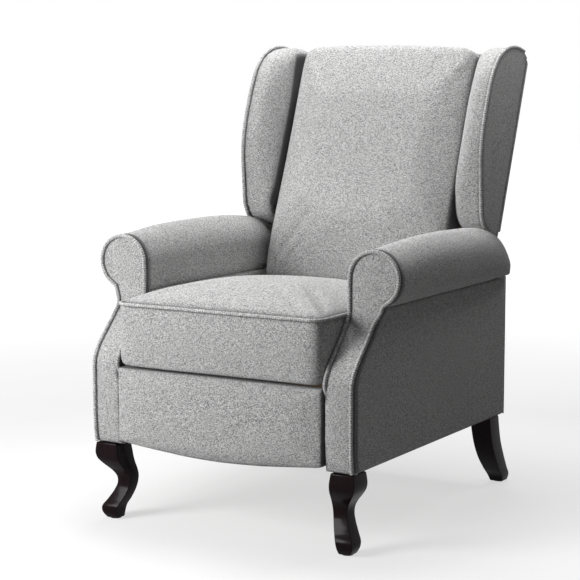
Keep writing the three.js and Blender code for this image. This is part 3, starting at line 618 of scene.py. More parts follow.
ROLL_SHARES = [0, 0.06, 0.16, 0.37, 0.56, 0.7, 0.8, 0.88, 0.94, 0.98, 1]
ROLL_HEIGHTS = [1, 1.02, 1.06, 1.1, 1.09, 1.05, 0.99, 0.88, 0.74, 0.58, 0.4]
ROLL_WIDTHS = [1, 1, 1, 0.985, 0.96, 0.93, 0.89, 0.84, 0.77, 0.69, 0.6]


def make_roll(side, sign):
    """The padded arm roll: drawn tight round its front edge, fuller behind, rounded at the rear."""
    start = SCROLL_SETBACK + PANEL_THICKNESS + HAIR
    length = ARM_DEPTH + ROLL_OVERHANG - start
    base = SWEEP_HIGH + HAIR
    turns = np.linspace(math.pi, SCROLL_FOOT, 44)
    section = [(SEATING_HALF + HAIR, base)]
    section += [(ROLL_INNER + 0.0008, base + (SCROLL_HEIGHT - base) * s) for s in (0.15, 0.4, 0.7)]
    section += arc(SCROLL_CENTRE, SCROLL_HEIGHT, SCROLL_RADIUS, turns)
    section += [(ARM_OUTER + 0.010, base + 0.002), (ARM_OUTER + 0.002, base)]
    section += [(x, base) for x in np.linspace(ARM_OUTER - 0.012, SEATING_HALF + 0.012, 5)]
    across, up = np.array(section).T
    shares = [0, 0.002, 0.005, 0.010, 0.016, 0.024, 0.034, *np.linspace(0.046, 0.9, 60),
              0.915, 0.93, 0.944, 0.957, 0.968, 0.977, 0.985, 0.991, 0.996, 1]
    fullness = np.clip((up - base) / (2 * SCROLL_RADIUS), 0, 1)
    turned_in = 0.030 * np.clip((across - 0.305) / 0.07, 0, 1) ** 2
    gathers = np.sin(np.linspace(0, 1, len(up)) * 150) * 0.0009
    rings = []
    for share in shares:
        high = float(through(ROLL_SHARES, ROLL_HEIGHTS, share))
        wide = float(through(ROLL_SHARES, ROLL_WIDTHS, share))
        tight = 0.982 + 0.018 * smooth(share / 0.02)
        x = SEATING_HALF + (across - SEATING_HALF) * (1 - (1 - wide) * (0.35 + 0.65 * fullness))
        z = base + (up - base) * high * tight
        z = z - 0.007 * smooth((share - 0.93) / 0.05) * (up < base + 0.004)
        pleats = gathers * math.exp(-share / 0.018) * (z > base + 0.004)
        depth = start + length * share - turned_in * smooth((share - 0.8) / 0.2)
        out_x = (x - SCROLL_CENTRE) / SCROLL_RADIUS
        out_z = (z - SCROLL_HEIGHT) / SCROLL_RADIUS
        rings.append(spots(sign * (x + out_x * pleats), depth, z + out_z * pleats))
    roll = loft(f"{side}_arm_roll_cover", upright(rings))
    rumple(roll, amount=0.0016, scale=7, seed=11 + sign,
           mask=lambda p: smooth((p[:, 2] - base) / 0.02))
    # Painted shade along the roll's front, where it meets the front panel and its piping.
    paint_shade(roll, lambda p: 0.7 * np.exp(-(p[:, 1] + MIDDLE_DEPTH - start) / 0.0035))
    dress(roll, "base", f"{side}_arm_roll", pad=0.8)


def arm_side(name, heights, face, **padding):
    """A flat side of an arm; face gives how far across it lies at a height over its back."""
    front = arm_front(heights) + PANEL_THICKNESS + HAIR

    def place(across, level, height):
        return upright(spots(face(height), across, level))

    rear = np.full_like(front, ARM_DEPTH)
    return padded_panel(name, heights, (front, rear), place, SIDE_THICKNESS, **padding)


def make_arm_sides(side, sign):
    """The outer side, whose cloth is pulled over the arm frame, and the plain inner side."""

    def pulls(flat, distance):
        sag = 0.0012 * np.sin(flat[..., 0] * 9 + 1) * np.sin(flat[..., 1] * 14)
        return sag * smooth(distance / 0.06)

    heights = np.concatenate([PANEL_LOW + np.array([0, 0.001, 0.003, 0.006, 0.010]),
                              np.linspace(0.195, 0.495, 40), [0.500, 0.504, 0.507, SWEEP_HIGH]])
    cover = arm_side(f"{side}_outer_arm_cover", heights,
                     lambda height: sign * (ARM_OUTER - SIDE_THICKNESS + height),
                     radius=0.005, crown=0.0012, reach=0.05, columns=64, ripple=pulls)

    # Painted shade beside the front piping and under the overhang of the roll.
    def cord_shade(p):
        gap = p[:, 1] + MIDDLE_DEPTH - arm_front(p[:, 2]) - PANEL_THICKNESS
        under_roll_shade = smooth((p[:, 2] - SWEEP_HIGH + 0.004) / 0.004)
        return 0.85 * np.exp(-((gap / 0.006) ** 2)) + 0.7 * under_roll_shade

    paint_shade(cover, cord_shade)
    dress(cover, "base", f"{side}_outer_arm_panel")

    heights = np.array([PANEL_LOW, PANEL_LOW + 0.002, *np.linspace(0.19, 0.5, 24), SWEEP_HIGH])
    cover = arm_side(f"{side}_inner_arm_cover", heights,
                     lambda height: sign * (SEATING_HALF + SIDE_THICKNESS - height),
                     radius=0.003, crown=0.0, reach=0.05, columns=40)
    dress(cover, "base", f"{side}_side_board")


# Piping


RINGS_A_STITCH = 3


def socket(tree, name):
    return next(s.identifier for s in tree.interface.items_tree if s.name == name)


def piping_tree():
    """A cord swept along the piece's own line, pinched at each stitch of its cover."""
    group = bpy.data.node_groups.new("stitched_piping", "GeometryNodeTree")
    sizes = {"Line": "Geometry", "Radius": "Float", "Stitch": "Float", "Pinch": "Float",
             "Finish": "Material"}
    for name, kind in sizes.items():
        group.interface.new_socket(name, in_out="INPUT", socket_type="NodeSocket" + kind)
    group.interface.new_socket("Piping", in_out="OUTPUT", socket_type="NodeSocketGeometry")
    tree = Tree(group)
    line, radius, stitch, pinch, finish = tree.node("NodeGroupInput", output=list(sizes))
    curve = tree.node("GeometryNodeMeshToCurve", {}, {0: line})
    rings = tree.node("GeometryNodeResampleCurve", {"mode": "LENGTH"},
                      {"Curve": curve, "Length": stitch / RINGS_A_STITCH})
    index = tree.node("GeometryNodeInputIndex")
    pinched = index.math("LESS_THAN", index.math("MODULO", index, RINGS_A_STITCH), 0.5)
    width = (1 - pinched * pinch) * radius
    section = tree.node("GeometryNodeCurvePrimitiveCircle", {}, {"Resolution": 10, "Radius": 1})
    sized = tree.node("GeometryNodeSetCurveRadius", {}, {"Curve": rings, "Radius": width})
    # The pinched rings are marked for painted shade: the piping's cloth shows it dark in the
    # pinches between stitches.
    ribbed = tree.node("GeometryNodeStoreNamedAttribute", {"data_type": "FLOAT", "domain": "POINT"},
                       {"Geometry": sized, "Name": "rib_shade", "Value": pinched})
    swept = tree.node("GeometryNodeCurveToMesh", {}, {"Curve": ribbed, "Profile Curve": section,
                                                      "Scale": width, "Fill Caps": True})
    whole = tree.node("GeometryNodeRealizeInstances", {}, {0: swept})
    covered = tree.node("GeometryNodeSetMaterial", {}, {"Geometry": whole, "Material": finish})
    tree.node("NodeGroupOutput", {}, {0: covered})
    return group


PIPING = piping_tree()


def piped(name, line, body, *nodes, radius=0.0045, stitch=0.0052, pinch=0.2):
    """A line of points made into stitched piping, as a plain mesh."""
    mesh = bpy.data.meshes.new(name + "_line")
    mesh.from_pydata([tuple(p) for p in line], [(i, i + 1) for i in range(len(line) - 1)], [])
    drawn = placed(name + "_line", mesh)
    modifier = drawn.modifiers.new("piping", "NODES")
    modifier.node_group = PIPING
    for size, value in {"Radius": radius, "Stitch": stitch, "Pinch": pinch, "Finish": TRIM}.items():
        modifier[socket(PIPING, size)] = value
    made = evaluated(drawn)
    bpy.data.objects.remove(drawn)
    closed(made)
    dress(placed(name, made), body, *nodes, slot="fabric_piping")


def make_arm_piping(side, sign):
    """The cord round an arm's front panel, its inner end tucked in behind the seat."""
    reach = SCROLL_RADIUS - PIPING_RADIUS
    heights = np.concatenate([np.linspace(LEG_HEIGHT + 0.003, NECK_LOW, 22),
                              np.linspace(NECK_LOW, 0.513, 5)[1:]])
    inner = heights[heights > INNER_PIPING_LOW]
    low, high = panel_span(inner)[0], panel_span(heights)[1]
    turns = np.linspace(SCROLL_FOOT, math.pi, 28)[1:]
    xs = np.concatenate([high - PIPING_RADIUS, SCROLL_CENTRE + reach * np.cos(turns),
                         (low + PIPING_RADIUS)[::-1]])
    zs = np.concatenate([heights, SCROLL_HEIGHT + reach * np.sin(turns), inner[::-1]])
    slope = (arm_front(zs + 0.0005) - arm_front(zs - 0.0005)) / 0.001
    steep = np.hypot(1, slope)
    proud = np.full(len(zs), PIPING_RADIUS - 0.0004)
    ending = smooth((INNER_PIPING_LOW + 0.03 - inner[::-1]) / 0.03)
    proud[-len(inner):] -= 0.012 * ending
    line = spots(sign * xs, arm_front(zs) - proud / steep, zs + proud * slope / steep)
    piped(f"{side}_arm_piping_cord", upright(evenly(line)), "base", f"{side}_arm_piping")


# Wings


def wing_line(proud):
    """The wing's front edge as a line, moved outward by a little."""
    line = evenly([(WING_REAR - forward * WING_DEPTH, WING_LOW + up * WING_HEIGHT)
                   for forward, up in WING_OUTLINE], 160)
    step = np.gradient(line, axis=0)
    step /= np.linalg.norm(step, axis=1)[:, None]
    return line + spots(-step[:, 1], step[:, 0]) * proud


def wing_inside(depth, rise):
    """How far out the wing's inner face lies, as the wing thins to its root and to its top."""
    thinned = WING_THINNING * (1 - smooth((depth + WING_REAR / 2) / (WING_REAR / 2)))
    return WING_ROOT + thinned + TOP_EASE * smooth((rise - 0.42) / 0.14)


def make_wing(side, sign):
    """One padded wing: flat outside, thick and soft in front, its pad gathered at the foot."""
    line = wing_line(0.0)
    rear = [(WING_REAR, rise) for rise in np.linspace(line[-1][1] - 0.004, line[0][1] + 0.003, 26)]
    outline = np.concatenate([line, rear])
    middle = np.array([WING_REAR - WING_DEPTH * 0.5, WING_LOW + WING_HEIGHT * 0.52])
    insets = [0, 0.003, 0.008, 0.015, 0.025, 0.04, 0.06, 0.085, 0.115, 0.15,
              *np.linspace(0.2, 0.9, 12)]
    flats = [middle + (outline - middle) * (1 - inset) for inset in insets]
    rings = []
    for flat in reversed(flats):
        height = puffed(edge_distance(flat, outline), radius=0.004, crown=0.001, reach=0.03)
        rings.append(spots(WING_OUTER + height - 0.0005, flat[:, 0], flat[:, 1]))
    depth, rise = outline.T
    pleats = np.sin(depth * WING_GATHERS) * np.exp(-(rise - WING_LOW) / 0.035)
    pleats = pleats + 0.55 * np.sin(rise * 330) * (depth < WING_REAR - 0.01)
    start, end = WING_OUTER - 0.006, wing_inside(depth, rise) + WING_EDGE_ROUND
    for share in np.linspace(0, 1, 9):
        waist = 0.0025 * math.exp(-share / 0.1) + 0.0011 * pleats * math.exp(-share / 0.35)
        drawn = middle + (outline - middle) * (1 - waist / 0.12)[:, None]
        rings.append(np.column_stack([start + (end - start) * share, drawn]))
    for flat in flats[1:]:
        depth, rise = flat.T
        gap = edge_distance(flat, outline)
        at_front = 1 - smooth((depth + 0.040) / 0.055)
        full = puffed(gap, radius=WING_EDGE_ROUND, crown=0.0, reach=0.03)
        full = full + 0.004 * at_front * (1 - np.exp(-gap / 0.03))
        ease = 0.0008 * np.sin(depth * WING_GATHERS) * np.exp(-(rise - WING_LOW) / 0.04)
        rings.append(np.column_stack([wing_inside(depth, rise) - full + ease, flat]))
    rings = np.array(rings)
    rings[..., 0] *= sign
    wing = loft(f"{side}_wing_cover", leaned(rings))
    rumple(wing, amount=0.0012, scale=11, seed=21 + sign,
           mask=lambda p: smooth((np.abs(p[:, 0]) - WING_ROOT) / 0.02))

    # Painted shade in the crevice between the wing and the back cushion, and beside the wing's
    # piping.
    def crevice_shade(p):
        out = np.abs(p[:, 0])
        depth, rise = own_frame(p)
        gap = smooth((depth + 0.002) / 0.012) * smooth((WING_ROOT + 0.012 - out) / 0.006)
        edge = edge_distance(spots(depth, rise), outline) * (depth < WING_REAR - 0.006)
        welt = np.exp(-(((out - WING_OUTER + PIPING_RADIUS) / 0.007) ** 2) - (edge / 0.007) ** 2)
        return np.maximum(gap, 0.85 * welt)

    paint_shade(wing, crevice_shade)
    dress(wing, "back", f"{side}_wing_board", f"{side}_wing_pad", pad=0.75)

    cord = wing_line(PIPING_RADIUS - 0.001)[6:]
    line = spots(sign * (WING_OUTER - PIPING_RADIUS), cord[:, 0], cord[:, 1])
    piped(f"{side}_wing_piping_cord", evenly(leaned(line)), "back", f"{side}_wing_piping",
          radius=0.0042, pinch=0.14)


# Cushions


CLOTH = {
    "quality": 4, "mass": 0.3, "tension_stiffness": 18, "compression_stiffness": 18,
    "shear_stiffness": 8, "bending_stiffness": 1.5, "use_pressure": True,
    "vertex_group_mass": "held",
}
GROWING_FRAMES = 20


def inflated(obj, voxel, pressure, cap, pin, ease=5):
    """Blows a piece up as cloth over foam. Pinned points hold, and none moves past the cap."""
    bpy.context.view_layer.objects.active = obj
    remesh = obj.modifiers.new("even", "REMESH")
    remesh.mode, remesh.voxel_size = "VOXEL", voxel
    even = baked(obj)
    scene, start = bpy.context.scene, places_of(even)
    held = obj.vertex_groups.new(name=CLOTH["vertex_group_mass"])
    for i, weight in enumerate(np.clip(pin(start), 0, 1)):
        if weight > 0.01:
            held.add([i], float(weight), "REPLACE")
    cloth = obj.modifiers.new("cloth", "CLOTH")
    for name, value in CLOTH.items():
        setattr(cloth.settings, name, value)
    cloth.settings.uniform_pressure_force = pressure
    cloth.settings.effector_weights.gravity = 0
    cloth.collision_settings.use_collision = False
    for frame_number in range(1, GROWING_FRAMES + 1):
        scene.frame_set(frame_number)
    moved = places_of(evaluated(obj)) - start
    far = np.linalg.norm(moved, axis=1)
    moved *= np.minimum(1, cap / np.maximum(far, 1e-9))[:, None]
    obj.modifiers.clear()
    obj.vertex_groups.clear()
    even.vertices.foreach_set("co", (start + moved).ravel())
    even.update()
    scene.frame_set(1)
    even_out = obj.modifiers.new("even_out", "SMOOTH")
    even_out.factor, even_out.iterations = 0.5, ease
    finer = obj.modifiers.new("finer", "SUBSURF")
    finer.levels = finer.render_levels = 1
    smooth_shaded(baked(obj))


def rounded(half_x, low, high, radii, step):
    """A rectangle with rounded corners, counter-clockwise, with points at about an even step."""
    points = []
    corners = [(half_x, low, radii[0], -90), (half_x, high, radii[1], 0),
               (-half_x, high, radii[1], 90), (-half_x, low, radii[0], 180)]
    for x, y, radius, start in corners:
        cx = x - math.copysign(radius, x)
        cy = y + (radius if y == low else -radius)
        points += arc(cx, cy, radius, np.radians(np.linspace(start, start + 90, 9)))
    outline = []
    for a, b in zip(np.array(points), np.roll(points, -1, 0)):
        count = max(1, int(np.linalg.norm(b - a) / step))
        outline += [a + (b - a) * k / count for k in range(count)]
    return np.array(outline)


def crowned(outline, half, ends, quick, slow, share):
    """How full a cushion is at each flat point: from 0 at its edges, quick to rise, then slow."""
    x, y = outline.T
    full = 1.0
    for side in (half - np.abs(x), y - ends[0], ends[1] - y):
        near = np.maximum(side, 0)
        quickly, slowly = 1 - np.exp(-near / quick), 1 - np.exp(-near / slow)
        full = full * (share * quickly + (1 - share) * slowly)
    return full


def drawn_in(outline, centre, inset):
    """The outline drawn in towards its centre by an inset."""
    half = np.abs(outline - centre).max(0)
    return centre + (outline - centre) * ((half - inset) / half)


def widened(depth):
    """How much the seat's soft front fills the gap to each arm; further back the steel has room."""
    return SEAT_FILL * smooth((0.2 - depth) / 0.14)


def dipped(depth, z):
    """How far the seat's top lies lower towards the back cushion."""
    return SEAT_DIP * smooth((depth - 0.02) / 0.5) * smooth((z - 0.43) / 0.06)


def make_seat_cushion():
    """A deep front border and a crowned top, sewn together at the welt."""
    low, rear = 0.3563, 0.548
    outline = rounded(CUSHION_HALF - 0.0005, SEAT_FRONT + 0.001, rear, (SEAT_CORNER, 0.014), 0.012)
    centre = np.array([0, (SEAT_FRONT + rear) / 2])
    rows = [(low, 0.006), (low + 0.004, 0.002), (low + 0.012, 0.0), (0.40, -0.0005),
            (0.44, -0.001), (0.47, -0.0005), (SEAT_WELT - 0.006, 0.0012), (SEAT_WELT, 0.0045),
            (SEAT_WELT + 0.004, 0.004)]
    rows += [(None, CUSHION_HALF * share)
             for share in (0.03, 0.06, 0.1, 0.16, 0.24, 0.34, 0.46, 0.6, 0.75, 0.88)]
    rings = []
    for z, inset in rows:
        flat = drawn_in(outline, centre, inset)
        if z is None:
            full = crowned(flat, CUSHION_HALF, (SEAT_FRONT, rear), quick=0.02, slow=0.08,
                           share=0.45)
            z = SEAT_WELT + 0.004 + SEAT_CROWN * full
        flat[:, 0] += np.sign(flat[:, 0]) * widened(flat[:, 1]) * np.abs(flat[:, 0]) / CUSHION_HALF
        rings.append(np.column_stack([flat, z - dipped(flat[:, 1], z)]))
    crown = SEAT_WELT + SEAT_CROWN - 0.004
    tips = ((0, centre[1] - MIDDLE_DEPTH, low),
            (0, centre[1] - MIDDLE_DEPTH, crown - float(dipped(centre[1], crown))))
    cushion = loft("seat_cushion_cover", upright(rings), tips)
    hollow = loft("hollow", upright([
        [(-0.3, 0.038, z), (0.3, 0.038, z), (0.3, 0.7, z), (-0.3, 0.7, z)]
        for z in (0.3, FRAME_TOP)]))
    cut = cushion.modifiers.new("hollow", "BOOLEAN")
    cut.object, cut.operation, cut.solver = hollow, "DIFFERENCE", "EXACT"
    baked(cushion)
    bpy.data.objects.remove(hollow)

    def pin(p):
        depth = p[:, 1] + MIDDLE_DEPTH
        seam = np.exp(-((p[:, 2] + dipped(depth, p[:, 2]) - SEAT_WELT) / 0.006) ** 2)
        under = (p[:, 2] < 0.412) & (depth > 0.03)
        hem = p[:, 2] < low + 0.006
        sides = (np.abs(p[:, 0]) > CUSHION_HALF - 0.006) & (p[:, 2] < SEAT_WELT)
        back = depth > rear - 0.006
        return np.maximum.reduce([seam, 1.0 * under, 1.0 * hem, 0.9 * sides, 0.9 * back])

    inflated(cushion, voxel=0.0065, pressure=3.0, cap=0.012, pin=pin, ease=9)
    rumple(cushion, amount=0.0014, scale=6, seed=5)

    # Painted shade along the welt seam and under the cushion's bottom hem.
    def sewn(p):
        depth = p[:, 1] + MIDDLE_DEPTH
        seam = np.exp(-(((p[:, 2] - SEAT_WELT) / 0.006) ** 2)) * (depth < 0.3)
        return np.maximum(0.85 * seam, smooth((low + 0.003 - p[:, 2]) / 0.004))

    paint_shade(cushion, sewn)
    dress(cushion, "seat", "seat_cushion", pad=0.8)


def make_seat_welt():
    """The cord sewn along the seat's top front edge and a little way back along its sides."""
    across, front = CUSHION_HALF + SEAT_FILL - 0.002, SEAT_FRONT - 0.0012
    corner_x, corner_y = across - SEAT_CORNER, front + SEAT_CORNER
    turns = np.linspace(0, math.pi / 2, 9)
    left = [(-across, 0.16), (-across, 0.08)]
    left += arc(-corner_x, corner_y, -SEAT_CORNER, turns)
    flat = left + [(x, front) for x in np.linspace(-0.18, 0.18, 12)]
    flat += [(-x, y) for x, y in left[::-1]]
    line = evenly([(x, y, SEAT_WELT) for x, y in flat])
    piped("seat_welt_cord", upright(line), "seat", "seat_welt", radius=0.0036, pinch=0.07,
          stitch=0.005)


def make_back_cushion():
    """The tall back cushion, full over the lower back and softly arched along its top."""
    half, low, high, thick = 0.2405, -0.018, 0.592, 0.084
    outline = rounded(half, low, high, (0.018, 0.042), 0.015)
    outline[:, 0] *= 1 + TOP_EASE / half * smooth((outline[:, 1] - 0.42) / 0.14)
    outline[:, 1] -= np.where(outline[:, 1] > 0.3, 0.012 * (outline[:, 0] / half) ** 2, 0)
    centre = np.array([0, (low + high) / 2])
    rows = [(thick, 0.006), (thick - 0.010, 0.0008), (0.055, 0.0006)]
    rows += [(None, inset)
             for inset in (0.0018, 0.005, 0.011, 0.020, 0.034, 0.055, 0.09, 0.13, 0.17, 0.21)]
    rings = []
    for i, (depth, inset) in enumerate(rows):
        flat = drawn_in(outline, centre, inset)
        if depth is None:
            full = crowned(flat, half, (low, high), quick=0.009, slow=0.05, share=0.68)
            depth = 0.030 - 0.0475 * full
        bulge = 0.007 * np.exp(-(((flat[:, 1] - 0.12) / 0.09) ** 2)) * min(1, max(0, (i - 3) / 4))
        rings.append(spots(flat[:, 0], depth - bulge, flat[:, 1]))
    cushion = loft("back_cushion_cover", leaned(rings),
                   (leaned([0, thick, centre[1]]), leaned([0, -0.0175, centre[1]])))

    def pin(p):
        depth, rise = own_frame(p)
        behind = 1.0 * (depth > thick - 0.02)
        sides = 0.8 * (np.abs(p[:, 0]) > half - 0.006)
        ends = np.maximum(1.0 * (rise < low + 0.010), 0.8 * (rise > high - 0.02))
        return np.maximum.reduce([behind, sides, ends])

    inflated(cushion, voxel=0.0065, pressure=2.6, cap=0.010, pin=pin, ease=14)
    rumple(cushion, amount=0.0016, scale=5, seed=8)

    # Painted shade on the cushion's sides in the gaps to the wings, and along its foot.
    def gap_shade(p):
        depth, rise = own_frame(p)
        side = smooth((np.abs(p[:, 0]) - half + 0.010) / 0.008) * smooth((depth + 0.002) / 0.014)
        return np.maximum(side, 0.8 * smooth((low + 0.016 - rise) / 0.012))

    paint_shade(cushion, gap_shade)
    dress(cushion, "back", "back_cushion", pad=0.75)


def wrap_footrest_board():
    """The cloth pulled round the edge of the footrest's board and stapled behind it."""
    across = np.linspace(-1, 1, 41)
    loops = []
    for out, depth in [(0.0004, 0.0218), (0.0018, 0.0222), (0.0022, 0.029), (0.0021, 0.0355),
                       (0.0014, 0.0372), (0.0002, 0.0379), (-0.006, 0.0381), (-0.016, 0.0380),
                       (-0.0165, 0.0371), (-0.006, 0.0370), (0.0004, 0.0369), (0.0005, 0.029)]:
        half, high = BOARD_HALF + out, BOARD_HIGH + out
        low = BOARD_LOW - out + BOARD_BELLY * across**2
        path = [(half * t, z) for t, z in zip(across, low)]
        path += [(half, z) for z in np.linspace(low[-1], high, 14)[1:-1]]
        path += [(half * t, high) for t in across[::-1]]
        path += [(-half, z) for z in np.linspace(high, low[0], 14)[1:-1]]
        loops.append(upright([(x, depth, z) for x, z in path]))
    faces = ring_faces(len(loops), len(loops[0]), looped=True)
    dress(piece("footrest_board_wrap", loops, faces), "footrest")


def make_footrest():
    """The closed footrest panel: a padded board whose lower edge bellies down in the middle."""
    half, low, high = 0.2570, 0.1665, 0.3520
    across = half * np.sin(np.linspace(-math.pi / 2, math.pi / 2, 70))
    bottom = low + 0.020 * (across / half) ** 2

    def place(level, along, height):
        return upright(spots(along, BOARD_FRONT - height, level))

    pad = padded_panel("footrest_pad_cover", across, (bottom, np.full_like(across, high)), place,
                       thickness=0.0314, radius=0.007, crown=0.004, reach=0.03, columns=34,
                       back_radius=0)
    wrap_footrest_board()

    def pin(p):
        rear = p[:, 1] + MIDDLE_DEPTH > 0.010
        edges = np.abs(p[:, 0]) > half - 0.003
        return 1.0 * (rear | edges)

    inflated(pad, voxel=0.0045, pressure=2.0, cap=0.005, pin=pin)
    rumple(pad, amount=0.0010, scale=8, seed=14)
    # Painted shade along the pad's top edge, in the slot under the seat, and along its sides.
    paint_shade(pad, lambda p: np.maximum(smooth((p[:, 2] - high + 0.003) / 0.003),
                                      smooth((np.abs(p[:, 0]) - half + 0.003) / 0.003)))
    dress(pad, "footrest", "footrest_pad", pad=0.7)


# Back


def make_outer_back():
    """The outer back, one stretched panel from wing to wing and narrow between the arms."""
    front, thick = 0.1083, 0.0105
    narrow, wide = 0.2455, 0.3247
    heights = np.concatenate([[-0.0748, -0.073, -0.070, -0.065], np.linspace(-0.058, 0.157, 22),
                              [0.1581, 0.160, 0.163, 0.168], np.linspace(0.176, 0.570, 40),
                              [0.578, 0.583, 0.587]])
    half = np.where(heights < 0.1580, narrow, wide)
    half = half - 0.005 * np.clip((heights - 0.575) / 0.012, 0, 1) ** 2

    def place(across, level, height):
        arch = 0.010 * (1 - (across / wide) ** 2) * smooth((level - 0.40) / 0.19)
        return leaned(spots(across, front + height, level + arch))

    cover = padded_panel("outer_back_cover", heights, (-half, half), place, thick, radius=0.005,
                         crown=0.0012, reach=0.06, columns=60, back_radius=0)
    dress(cover, "back", "back_outer_panel")


def make_lower_back():
    """The fixed panel across the rear of the base, under the leaning back."""
    low, high, thick = LEG_HEIGHT, 0.500, 0.008
    heights = np.concatenate([low + np.array([0.0002, 0.001, 0.003, 0.007]),
                              np.linspace(low + 0.014, high - 0.014, 26),
                              high - np.array([0.007, 0.003, 0.001, 0])])
    half = np.full(len(heights), SEATING_HALF - 0.0004)

    def place(across, level, height):
        return upright(spots(across, ARM_DEPTH - thick + height, level))

    cover = padded_panel("rear_lower_cover", heights, (-half, half), place, thick, radius=0.003,
                         crown=0.0008, reach=0.05, columns=44)
    dress(cover, "base", "rear_lower_panel")


def thin_cover(name, levels, half, place, thickness, columns, **padding):
    """A thin cover with equal spans, its back open to what it lies on."""
    spans = [np.full(len(levels), edge) for edge in half]
    return padded_panel(name, levels, spans, place, thickness, reach=0.02, columns=columns,
                        back_radius=0, **padding)


def make_rear_edges():
    """The cloth over the rear edge of each arm and over the top rail of the back."""
    heights = np.concatenate([LEG_HEIGHT + np.array([0.0002, 0.002, 0.006]),
                              np.linspace(0.19, 0.495, 20),
                              SWEEP_HIGH - np.array([0.005, 0.002, 0.0002])])
    for side, sign in SIDES.items():
        def place(across, level, height, sign=sign):
            return upright(spots(sign * across, ARM_DEPTH + 0.0001 + height, level))

        edge = thin_cover(f"{side}_arm_rear_cover", heights,
                          (SEATING_HALF + 0.0004, ARM_OUTER - 0.0005), place, thickness=0.0034,
                          columns=12, radius=0.0025, crown=0.0004)
        dress(edge, "base")

    half = 0.2452
    depths = np.array([0.0810, 0.0816, 0.083, *np.linspace(0.085, 0.104, 8), 0.106, 0.1073, 0.1080])

    def on_rail(across, level, height):
        arch = 0.006 * (1 - (across / half) ** 2)
        return leaned(spots(across, level, 0.5824 + height + arch * (height > 0)))

    top = thin_cover("back_top_cover", depths, (-half, half), on_rail, thickness=0.0068, columns=50,
                     radius=0.004, crown=0.0006)
    dress(top, "back")


FLAP_HALF = 0.2445
CLOSING_FLAP = [
    (0.1190, 0.478), (0.1205, 0.460), (0.1235, 0.442), (0.130, 0.428), (0.140, 0.424),
    (0.150, 0.430), (0.157, 0.446), (0.161, 0.462), (0.163, 0.474),
]


def make_closing_flap():
    """Slack cloth behind the seat cushion, made as a thin closed sheet."""
    path = evenly([(0, y, z) for y, z in CLOSING_FLAP])[:, 1:]
    across = np.linspace(-FLAP_HALF, FLAP_HALF, 62)[:, None]
    ripple = 0.0012 * np.sin(across * 95) * np.sin(np.linspace(0, math.pi, len(path)))
    grid = spots(across, path[:, 0], path[:, 1] + ripple)
    flap = piece("closing_flap", grid, grid_faces(len(across), len(path)))
    wall = flap.modifiers.new("wall", "SOLIDIFY")
    wall.thickness, wall.offset = 0.0012, 0
    baked(flap)
    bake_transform(flap)


# Legs


LEG_TOP_HALF = 0.0275
GLIDE_HEIGHT = 0.0012
GLIDE_RADIUS = 0.012
FRONT_LEG = {
    "heights": [1, 0.93, 0.86, 0.78, 0.7, 0.62, 0.54, 0.46, 0.36, 0.25, 0.15, 0.08, 0],
    "offsets": [0, 0, 0.02, 0.14, 0.42, 0.76, 0.97, 0.98, 0.78, 0.4, 0, -0.03, 0.1],
    "halves": [1, 1.06, 1.1, 1.06, 0.92, 0.76, 0.65, 0.61, 0.64, 0.7, 0.74, 0.68, 0.5],
}
REAR_LEG = {
    "heights": [1, 0.8, 0.6, 0.4, 0.2, 0.08, 0],
    "offsets": [0, 0.08, 0.22, 0.45, 0.76, 0.97, 1],
    "halves": [0.92, 0.92, 0.9, 0.87, 0.78, 0.7, 0.56],
}


def leg_section(half, corner):
    """A square with softly rounded corners."""
    points = []
    for middle in np.radians([45, 135, 225, 315]):
        cx = math.copysign(half - corner, math.cos(middle))
        cy = math.copysign(half - corner, math.sin(middle))
        points += arc(cx, cy, corner, middle + np.linspace(-0.5, 0.5, 7) * math.pi / 2)
    return np.array(points)


def make_leg(name, centre, reach, table, corner_share):
    """A leg shaped by its height table; reach is how far its ankle sweeps, and where to."""
    top = LEG_HEIGHT - HAIR
    heights, offsets, halves = (np.array(row)[::-1] for row in table.values())
    wanted = np.concatenate([[0, 0.004, 0.010], np.linspace(0.022, 0.985, 54), [0.994, 1]])
    rings = []
    for share, offset, half in zip(wanted, through(heights, offsets, wanted),
                                   through(heights, halves, wanted) * LEG_TOP_HALF):
        half = half - 0.0018 * max(0, 1 - min(share, 1 - share) / 0.010) ** 2
        x, y = leg_section(half, half * corner_share).T
        rings.append(spots(x + centre[0] + reach[0] * offset, y + centre[1] + reach[1] * offset,
                           GLIDE_HEIGHT + (top - GLIDE_HEIGHT) * share))
    foot = rings[0].mean(0)
    turns = np.linspace(-math.pi / 4, 2 * math.pi - math.pi / 4, len(rings[0]) + 1)[:-1]
    x, y = foot[0] + GLIDE_RADIUS * np.cos(turns), foot[1] + GLIDE_RADIUS * np.sin(turns)
    glide = [spots(x, y, z) for z in (0.0, GLIDE_HEIGHT - 0.0002)]
    leg = loft(name, upright(glide + rings), material=LEG_WOOD)
    dress(leg, "base", name.replace("_wood", ""), slot="dark_leg_wood")


def make_legs():
    """Front legs that curve in to their ankles and rear legs swept back."""
    across = ARM_OUTER - LEG_TOP_HALF - HAIR
    sweep = 0.032 * math.sqrt(0.5)
    for side, sign in SIDES.items():
        make_leg(f"{side}_front_leg_wood", (sign * across, 0.0315), (-sign * sweep, sweep),
                 FRONT_LEG, corner_share=0.08)
        make_leg(f"{side}_rear_leg_wood", (sign * across, ARM_DEPTH - 0.050), (0, 0.088),
                 REAR_LEG, corner_share=0.07)


# Studio


